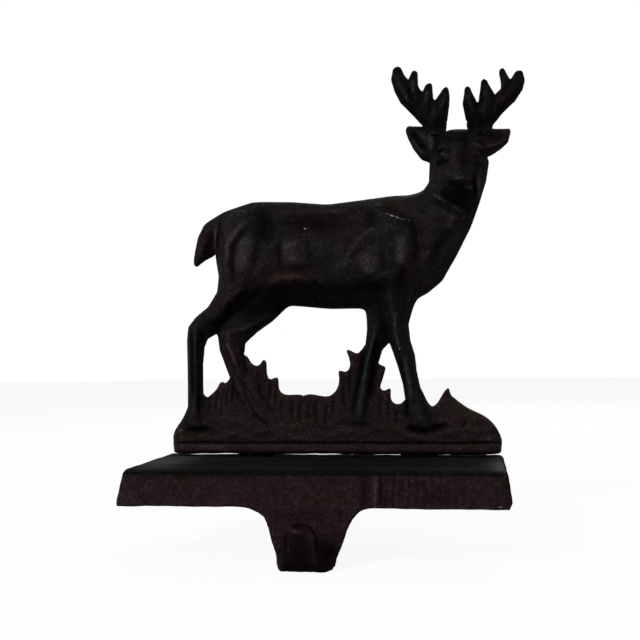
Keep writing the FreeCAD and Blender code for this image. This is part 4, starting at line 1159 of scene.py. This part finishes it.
@dataclass
class Pedestal:
    """The tray foot with its tongue and hook, one casting."""

    voxel: float = 0.56
    top_z: float = 12.0
    ground_x: float = 24.6
    finger_front_y: float = -13.0
    bend_drop: float = 0.45
    let_out: float = 0.16
    back_rise: float = 0.32
    rim_drop: float = 0.32
    flare: float = 0.65
    chip: float = 0.8
    side_shade: float = 0.9
    striae_tone: float = 0.34
    hook_shade: float = 0.5

    def build(self) -> Skin:
        """Makes the skin, rounds its edges and lets it waver as a sand casting does."""
        skin = Skin(skin_of_node("pedestal", "pedestal_skin", self.voxel))
        skin.smooth(4)
        normal = skin.normals()
        x, y, z = skin.points.T
        waver = 0.10 * np.sin(x * 0.19 + 0.5 * z) * np.sin(y * 0.23 + x * 0.05 + 1.0)
        waver += 0.06 * np.sin(x * 0.71 + z * 0.9) * np.sin(y * 0.64 - x * 0.13)
        waver += 0.04 * np.sin(x * 1.9 + y * 1.1) * np.sin(z * 1.7 + y * 0.6)
        rim = (z < 0.35) & (np.abs(normal[:, 2]) > 0.6) & (y > 0.2)
        left_end = 0.25 * step_up(-x, 58.0, 66.0)
        flares = falloff(np.hypot(x + 17.5, z + 2.2), 4.0) + falloff(np.hypot(x - 15.5, z + 1.8), 4.0)
        sideways = 1.0 - step_up(np.abs(normal[:, 1]), 0.5, 0.9)
        flares = self.flare * flares * (1.0 - step_up(y, 0.0, 2.0)) * sideways
        front_edge = (1.0 - step_up(y, 0.0, 1.5)) * (1.0 - step_up(z, 0.8, 4.0)) * step_up(z, -4.0, 0.0)
        skin.points += normal * (waver + self.let_out + left_end + flares)[:, None]
        skin.points[rim, 2] = 0.0
        skin.points[:, 2] -= self.rim_drop * front_edge
        skin.points[:, 2] += self.back_rise * step_up(y, 6.0, 58.0) * step_up(z, 9.0, self.top_z)
        chipped = step_up(x, 67.6, 69.0) * (1.0 - step_up(z, 0.4, 1.8)) * (1.0 - step_up(y, 2.0, 4.0))
        skin.points[:, 0] -= self.chip * chipped
        skin.points[:, 2] -= self.bend_drop * step_up(-z, 16.0, 20.0)
        skin.smooth(3)
        skin.points[rim, 2] = np.minimum(skin.points[rim, 2], 0.0)
        skin.write()
        return skin

    def top(self, skin: Skin) -> np.ndarray:
        """1 on the tray's top face."""
        high = step_up(skin.points[:, 2], self.top_z - 1.0, self.top_z - 0.3)
        return high * step_up(skin.normals()[:, 2], 0.5, 0.9)

    def light_and_shade(self, skin: Skin) -> np.ndarray:
        """How light each place is: painted highlights and shade on the front, the tongue and the hook,
        painted sheen and shade on the top, painted shade on the sides and in hollows, and fine striae by the
        ground's end.

        Args:
            skin: the modelled skin.

        Returns:
            The tone at each point, in doublings of the lacquer's colour.
        """
        x, y, z = skin.points.T
        hook = 1.0 - step_up(y, self.finger_front_y, self.finger_front_y + 2.0)
        front = (1.0 - hook) * (1.0 - step_up(y, 0.0, 2.0))
        # Painted highlights and shade on the front, the tongue and the hook
        tone = painted(TRAY_LIGHT_AND_SHADE, x, z) * front * step_up(z, -1.0, 0.0)
        tone += painted(TONGUE_LIGHT_AND_SHADE, x, z) * front * (1.0 - step_up(z, -6.0, -4.0))
        tone += (painted(HOOK_LIGHT_AND_SHADE, x, z) - self.hook_shade) * hook
        # Painted shade on the sides
        side = 1.0 - step_up(-skin.normals()[:, 1], 0.4, 0.9)
        tone -= self.side_shade * side * (1.0 - step_up(y, 2.0, 3.0)) * step_up(-z, -0.6, 0.6)
        # Painted sheen and shade on the top, with a painted shade line behind its front edge
        top = self.top(skin)
        edge_y = y[z > self.top_z - 0.1].min()
        tone += painted(TOP_SHEEN_AND_SHADE, x, y) * top - 0.9 * falloff(y - edge_y - 0.6, 0.8) * top
        ground_end = step_up(x, self.ground_x - 0.4, self.ground_x + 0.4)
        striae = np.sin(x * 5.3 + 0.8 * np.sin(z * 0.9)) + np.sin(x * 8.9 + 1.0)
        fading = 1.0 - 0.75 * step_up(x, 38.0, 50.0)
        tone += self.striae_tone * striae * ground_end * fading * front
        # Painted light on raised forms and painted shade in hollows
        return np.clip(tone + 0.8 * np.clip(skin.ridges(30) / 0.5, -1.0, 0.3), -2.2, 2.8)

    def dress(self, material: bpy.types.Material) -> bpy.types.Object:
        """Builds the piece and paints what the finish reads.

        Args:
            material: the tray's finish.

        Returns:
            The finished piece.
        """
        skin = self.build()
        x, y, z = skin.points.T
        front = (1.0 - step_up(y, 4.0, 8.0)) * (1.0 - step_up(z, self.top_z - 1.6, self.top_z - 0.8))
        top = self.top(skin)
        hook = y < self.finger_front_y + 1.0
        # Curvature that drives the worn edges with their painted sheen and the painted shade in hollows
        skin.paint("ridge", np.minimum(skin.ridges(4), 0.02) * (1.0 - 0.7 * hook))
        # Painted highlights, sheen and shade
        skin.paint("tone", self.light_and_shade(skin))
        cool = Oval(-57.0, 10.6, 4.6, 0.8, -1.5), Oval(46.0, 3.0, 6.0, 2.6, -0.4)
        skin.paint("warm", 1.5 * front - 0.8 + painted(cool, x, z) * front)
        # Chips to bare metal, with painted highlights on the corner's bevel and the finger's tip
        worn = painted(TRAY_CHIPS_AND_GLINTS, x, z) * (y < 0.0) * (z > -1.0) + painted(HOOK_CHIPS_AND_GLINTS, x, z) * hook
        skin.paint("worn", worn)
        dull = np.maximum(top, 1.0 - step_up(-skin.normals()[:, 1], 0.1, 0.6))
        skin.paint("dull", np.maximum(dull, 0.8 * hook))
        skin.piece.data.materials.clear()
        skin.piece.data.materials.append(material)
        skin.piece.data.shade_smooth()
        finish_piece(skin.piece, "pedestal")
        return skin.piece


@dataclass
class FigureScrews:
    """The two slotted screws under the tray."""

    places: tuple[Point, ...] = ((-30.0, 47.0), (36.0, 47.0))
    seat_z: float = 7.5
    head_radius: float = 3.5
    head_height: float = 2.6
    shank_radius: float = 2.0
    length: float = 12.0
    slot_width: float = 1.2
    slot_depth: float = 1.1
    edge: float = 0.35
    thread_pitch: float = 0.7
    thread_depth: float = 0.25
    sides: int = 40
    slot_turn: float = 0.95

    def profile(self) -> list[Point]:
        """The screw's outline from the middle of its head to the end of its shank, as (radius, height)."""
        low = self.seat_z - self.head_height
        top = self.seat_z + self.length
        outline = [
            (0.0, low),
            (self.head_radius - self.edge, low),
            (self.head_radius - self.edge * 0.3, low + self.edge * 0.3),
            (self.head_radius, low + self.edge),
            (self.head_radius, self.seat_z),
            (self.shank_radius, self.seat_z),
        ]
        height = self.seat_z + 2.0 * self.thread_pitch
        while height < top - self.thread_pitch:
            outline.append((self.shank_radius, height))
            outline.append((self.shank_radius - self.thread_depth, height + self.thread_pitch / 2.0))
            height += self.thread_pitch
        outline.append((self.shank_radius, top - self.edge))
        outline.append((self.shank_radius - self.edge, top))
        outline.append((0.0, top))
        return outline

    def screw(self) -> bpy.types.Object:
        """One screw on the frame's axis, turned from its profile, with its slot milled."""
        shape = bmesh.new()
        corners = [shape.verts.new((radius * MM, 0.0, height * MM)) for radius, height in self.profile()]
        edges = [shape.edges.new(pair) for pair in zip(corners, corners[1:])]
        bmesh.ops.spin(shape, geom=corners + edges, cent=(0.0, 0.0, 0.0), axis=(0.0, 0.0, 1.0),
                       angle=2.0 * math.pi, steps=self.sides, use_merge=True)
        bmesh.ops.remove_doubles(shape, verts=shape.verts, dist=0.001 * MM)
        bmesh.ops.recalc_face_normals(shape, faces=shape.faces)
        mesh = bpy.data.meshes.new("screw")
        shape.to_mesh(mesh)
        shape.free()
        piece = new_piece("screw", mesh)
        cutter = self.slot_cutter()
        mill = piece.modifiers.new("slot", "BOOLEAN")
        mill.operation = "DIFFERENCE"
        mill.solver = "EXACT"
        mill.object = cutter
        apply_modifier(piece, mill)
        bpy.data.objects.remove(cutter)
        return piece

    def slot_cutter(self) -> bpy.types.Object:
        """The block that a slot takes out of the head."""
        low = self.seat_z - self.head_height
        shape = bmesh.new()
        bmesh.ops.create_cube(shape, size=1.0)
        across = Vector((2.5 * self.head_radius, self.slot_width, 2.0 * self.slot_depth)) * MM
        bmesh.ops.scale(shape, verts=shape.verts, vec=across)
        bmesh.ops.translate(shape, verts=shape.verts, vec=(0.0, 0.0, low * MM))
        mesh = bpy.data.meshes.new("slot_cutter")
        shape.to_mesh(mesh)
        shape.free()
        return new_piece("slot_cutter", mesh)

    def tree(self, screw: bpy.types.Object, material: bpy.types.Material) -> bpy.types.NodeTree:
        """A geometry tree that sets a screw at each of its points.

        Args:
            screw: the object whose mesh is repeated.
            material: the screws' finish.

        Returns:
            The tree, with the turn of the slots as a named input.
        """
        tree = bpy.data.node_groups.new("set_screws", "GeometryNodeTree")
        tree.interface.new_socket("Geometry", in_out="INPUT", socket_type="NodeSocketGeometry")
        tree.interface.new_socket("Slot Turn", in_out="INPUT", socket_type="NodeSocketFloat")
        tree.interface.new_socket("Geometry", in_out="OUTPUT", socket_type="NodeSocketGeometry")
        graph = Graph(tree)
        given, result = graph.node("NodeGroupInput"), graph.node("NodeGroupOutput")
        info = graph.node("GeometryNodeObjectInfo", transform_space="ORIGINAL")
        info.inputs["Object"].default_value = screw
        index = graph.node("GeometryNodeInputIndex")
        turn = graph.math("MULTIPLY", index.outputs[0], given.outputs["Slot Turn"])
        vector = graph.node("ShaderNodeCombineXYZ")
        graph.feed(vector.inputs["Z"], turn)
        place = graph.node("GeometryNodeInstanceOnPoints")
        graph.feed(place.inputs["Points"], given.outputs["Geometry"])
        graph.feed(place.inputs["Instance"], info.outputs["Geometry"])
        graph.feed(place.inputs["Rotation"], vector.outputs[0])
        real = graph.node("GeometryNodeRealizeInstances")
        graph.feed(real.inputs[0], place.outputs[0])
        paint = graph.node("GeometryNodeSetMaterial")
        paint.inputs["Material"].default_value = material
        graph.feed(paint.inputs["Geometry"], real.outputs[0])
        graph.feed(result.inputs["Geometry"], paint.outputs["Geometry"])
        return tree

    def dress(self, material: bpy.types.Material) -> bpy.types.Object:
        """Sets both screws in their places as one piece.

        Args:
            material: the screws' finish.

        Returns:
            The finished piece.
        """
        screw = self.screw()
        points = bpy.data.meshes.new("screw_points")
        points.from_pydata([(x * MM, y * MM, 0.0) for x, y in self.places], [], [])
        piece = new_piece("figure_screws_skin", points)
        modifier = piece.modifiers.new("set_screws", "NODES")
        modifier.node_group = self.tree(screw, material)
        for item in modifier.node_group.interface.items_tree:
            if item.item_type == "SOCKET" and item.name == "Slot Turn":
                modifier[item.identifier] = self.slot_turn
        apply_modifier(piece, modifier)
        bpy.data.objects.remove(screw)
        finish_piece(piece, "figure_screws")
        return piece


@dataclass(frozen=True)
class Lamp:
    """A square soft light that looks at the holder."""

    name: str
    place: tuple[float, float, float]
    size: float
    watts: float


@dataclass
class Studio:
    """Camera, lights, floor and the white behind the holder."""

    camera_place: tuple[float, float, float] = (0.058290, -0.352673, 0.052007)
    yaw: float = 0.152820
    pitch: float = 0.037805
    roll: float = 0.011550
    floor_z: float = -0.0212
    fill: float = 0.18
    floor_grey: float = 0.45
    aim: tuple[float, float, float] = (0.0, 0.03, 0.08)
    lamps: tuple[Lamp, ...] = (
        Lamp("key", (-0.55, -0.85, 0.62), 0.35, 11.5),
        Lamp("right", (0.90, -0.25, 0.45), 0.40, 3.0),
        Lamp("back", (0.10, 0.90, 0.70), 0.60, 5.0),
    )

    def camera(self) -> None:
        """Sets the camera where the photograph was taken."""
        data = bpy.data.cameras.new("camera")
        data.sensor_width = Lens.SENSOR_MM.value
        data.lens = Lens.SENSOR_MM.value * Lens.FOCAL_PIXELS.value / Lens.FRAME_PIXELS.value
        data.clip_start = 0.01
        turn = (
            Matrix.Rotation(self.yaw, 3, "Z")
            @ Matrix.Rotation(self.pitch, 3, "X")
            @ Matrix.Rotation(self.roll, 3, "Y")
            @ Matrix.Rotation(math.pi / 2, 3, "X")
        )
        camera = bpy.data.objects.new("camera", data)
        camera.matrix_world = Matrix.Translation(self.camera_place) @ turn.to_4x4()
        bpy.context.scene.collection.objects.link(camera)
        bpy.context.scene.camera = camera

    def light(self) -> None:
        """Hangs the soft lamps."""
        for lamp in self.lamps:
            data = bpy.data.lights.new(lamp.name, "AREA")
            data.shape = "SQUARE"
            data.size = lamp.size
            data.energy = lamp.watts
            made = bpy.data.objects.new(lamp.name, data)
            made.location = lamp.place
            aim = Vector(self.aim) - Vector(lamp.place)
            made.rotation_euler = aim.to_track_quat("-Z", "Y").to_euler()
            bpy.context.scene.collection.objects.link(made)

    def seen_or_mirrored(self, graph: Graph) -> bpy.types.NodeSocket:
        """1 for a ray that the eye, a gloss or a glass sends out, and 0 for one that carries plain light."""
        path = graph.node("ShaderNodeLightPath")
        seen = graph.math("MAXIMUM", path.outputs["Is Camera Ray"], path.outputs["Is Glossy Ray"])
        return graph.math("MAXIMUM", seen, path.outputs["Is Transmission Ray"])

    def world(self) -> None:
        """White to the eye, to gloss and through glass; a plain level of light for the rest."""
        world = bpy.data.worlds.new("studio")
        world.use_nodes = True
        world.node_tree.nodes.clear()
        graph = Graph(world.node_tree)
        strength = graph.node("ShaderNodeMapRange")
        graph.feed(strength.inputs["Value"], self.seen_or_mirrored(graph))
        strength.inputs["To Min"].default_value = self.fill
        strength.inputs["To Max"].default_value = 1.0
        back = graph.node("ShaderNodeBackground")
        graph.feed(back.inputs["Color"], (1.0, 1.0, 1.0))
        graph.feed(back.inputs["Strength"], strength.outputs["Result"])
        out = graph.node("ShaderNodeOutputWorld")
        graph.feed(out.inputs["Surface"], back.outputs["Background"])
        bpy.context.scene.world = world

    def floor(self) -> None:
        """A pale floor that keeps the holder's shadow and fades into the white behind it."""
        made = bpy.data.materials.new("pale_floor")
        made.use_nodes = True
        made.node_tree.nodes.clear()
        graph = Graph(made.node_tree)
        seen = self.seen_or_mirrored(graph)
        plain = graph.node("ShaderNodeBsdfDiffuse")
        grey = (self.floor_grey, self.floor_grey, self.floor_grey)
        graph.feed(plain.inputs["Color"], graph.blend(seen, grey, (1.0, 1.0, 1.0)))
        white = graph.node("ShaderNodeEmission")
        mixed = graph.node("ShaderNodeMixShader")
        graph.feed(mixed.inputs[0], graph.math("MULTIPLY", seen, 0.92))
        graph.feed(mixed.inputs[1], plain.outputs[0])
        graph.feed(mixed.inputs[2], white.outputs[0])
        out = graph.node("ShaderNodeOutputMaterial")
        graph.feed(out.inputs["Surface"], mixed.outputs[0])
        shape = bmesh.new()
        bmesh.ops.create_grid(shape, x_segments=1, y_segments=1, size=3.0)
        bmesh.ops.translate(shape, verts=shape.verts, vec=(0.0, 0.0, self.floor_z))
        mesh = bpy.data.meshes.new("floor")
        shape.to_mesh(mesh)
        shape.free()
        mesh.materials.append(made)
        new_piece("floor", mesh)

    def build(self) -> None:
        """Sets up the whole studio."""
        self.camera()
        self.light()
        self.world()
        self.floor()
        bpy.context.scene.view_settings.view_transform = "Standard"
        log.info("studio: %d lamps", len(self.lamps))


def main() -> None:
    """Builds the finishes, the castings, the screws and the studio, in order."""
    logging.basicConfig(level=logging.INFO, format="%(name)s %(message)s")
    cast_skin_group()
    wear_and_shade_group()
    DeerFigure().dress(FIGURE_FINISH.material())
    Pedestal().dress(TRAY_FINISH.material())
    FigureScrews().dress(SteelFinish().material())
    Studio().build()


if __name__ == "__main__":
    main()
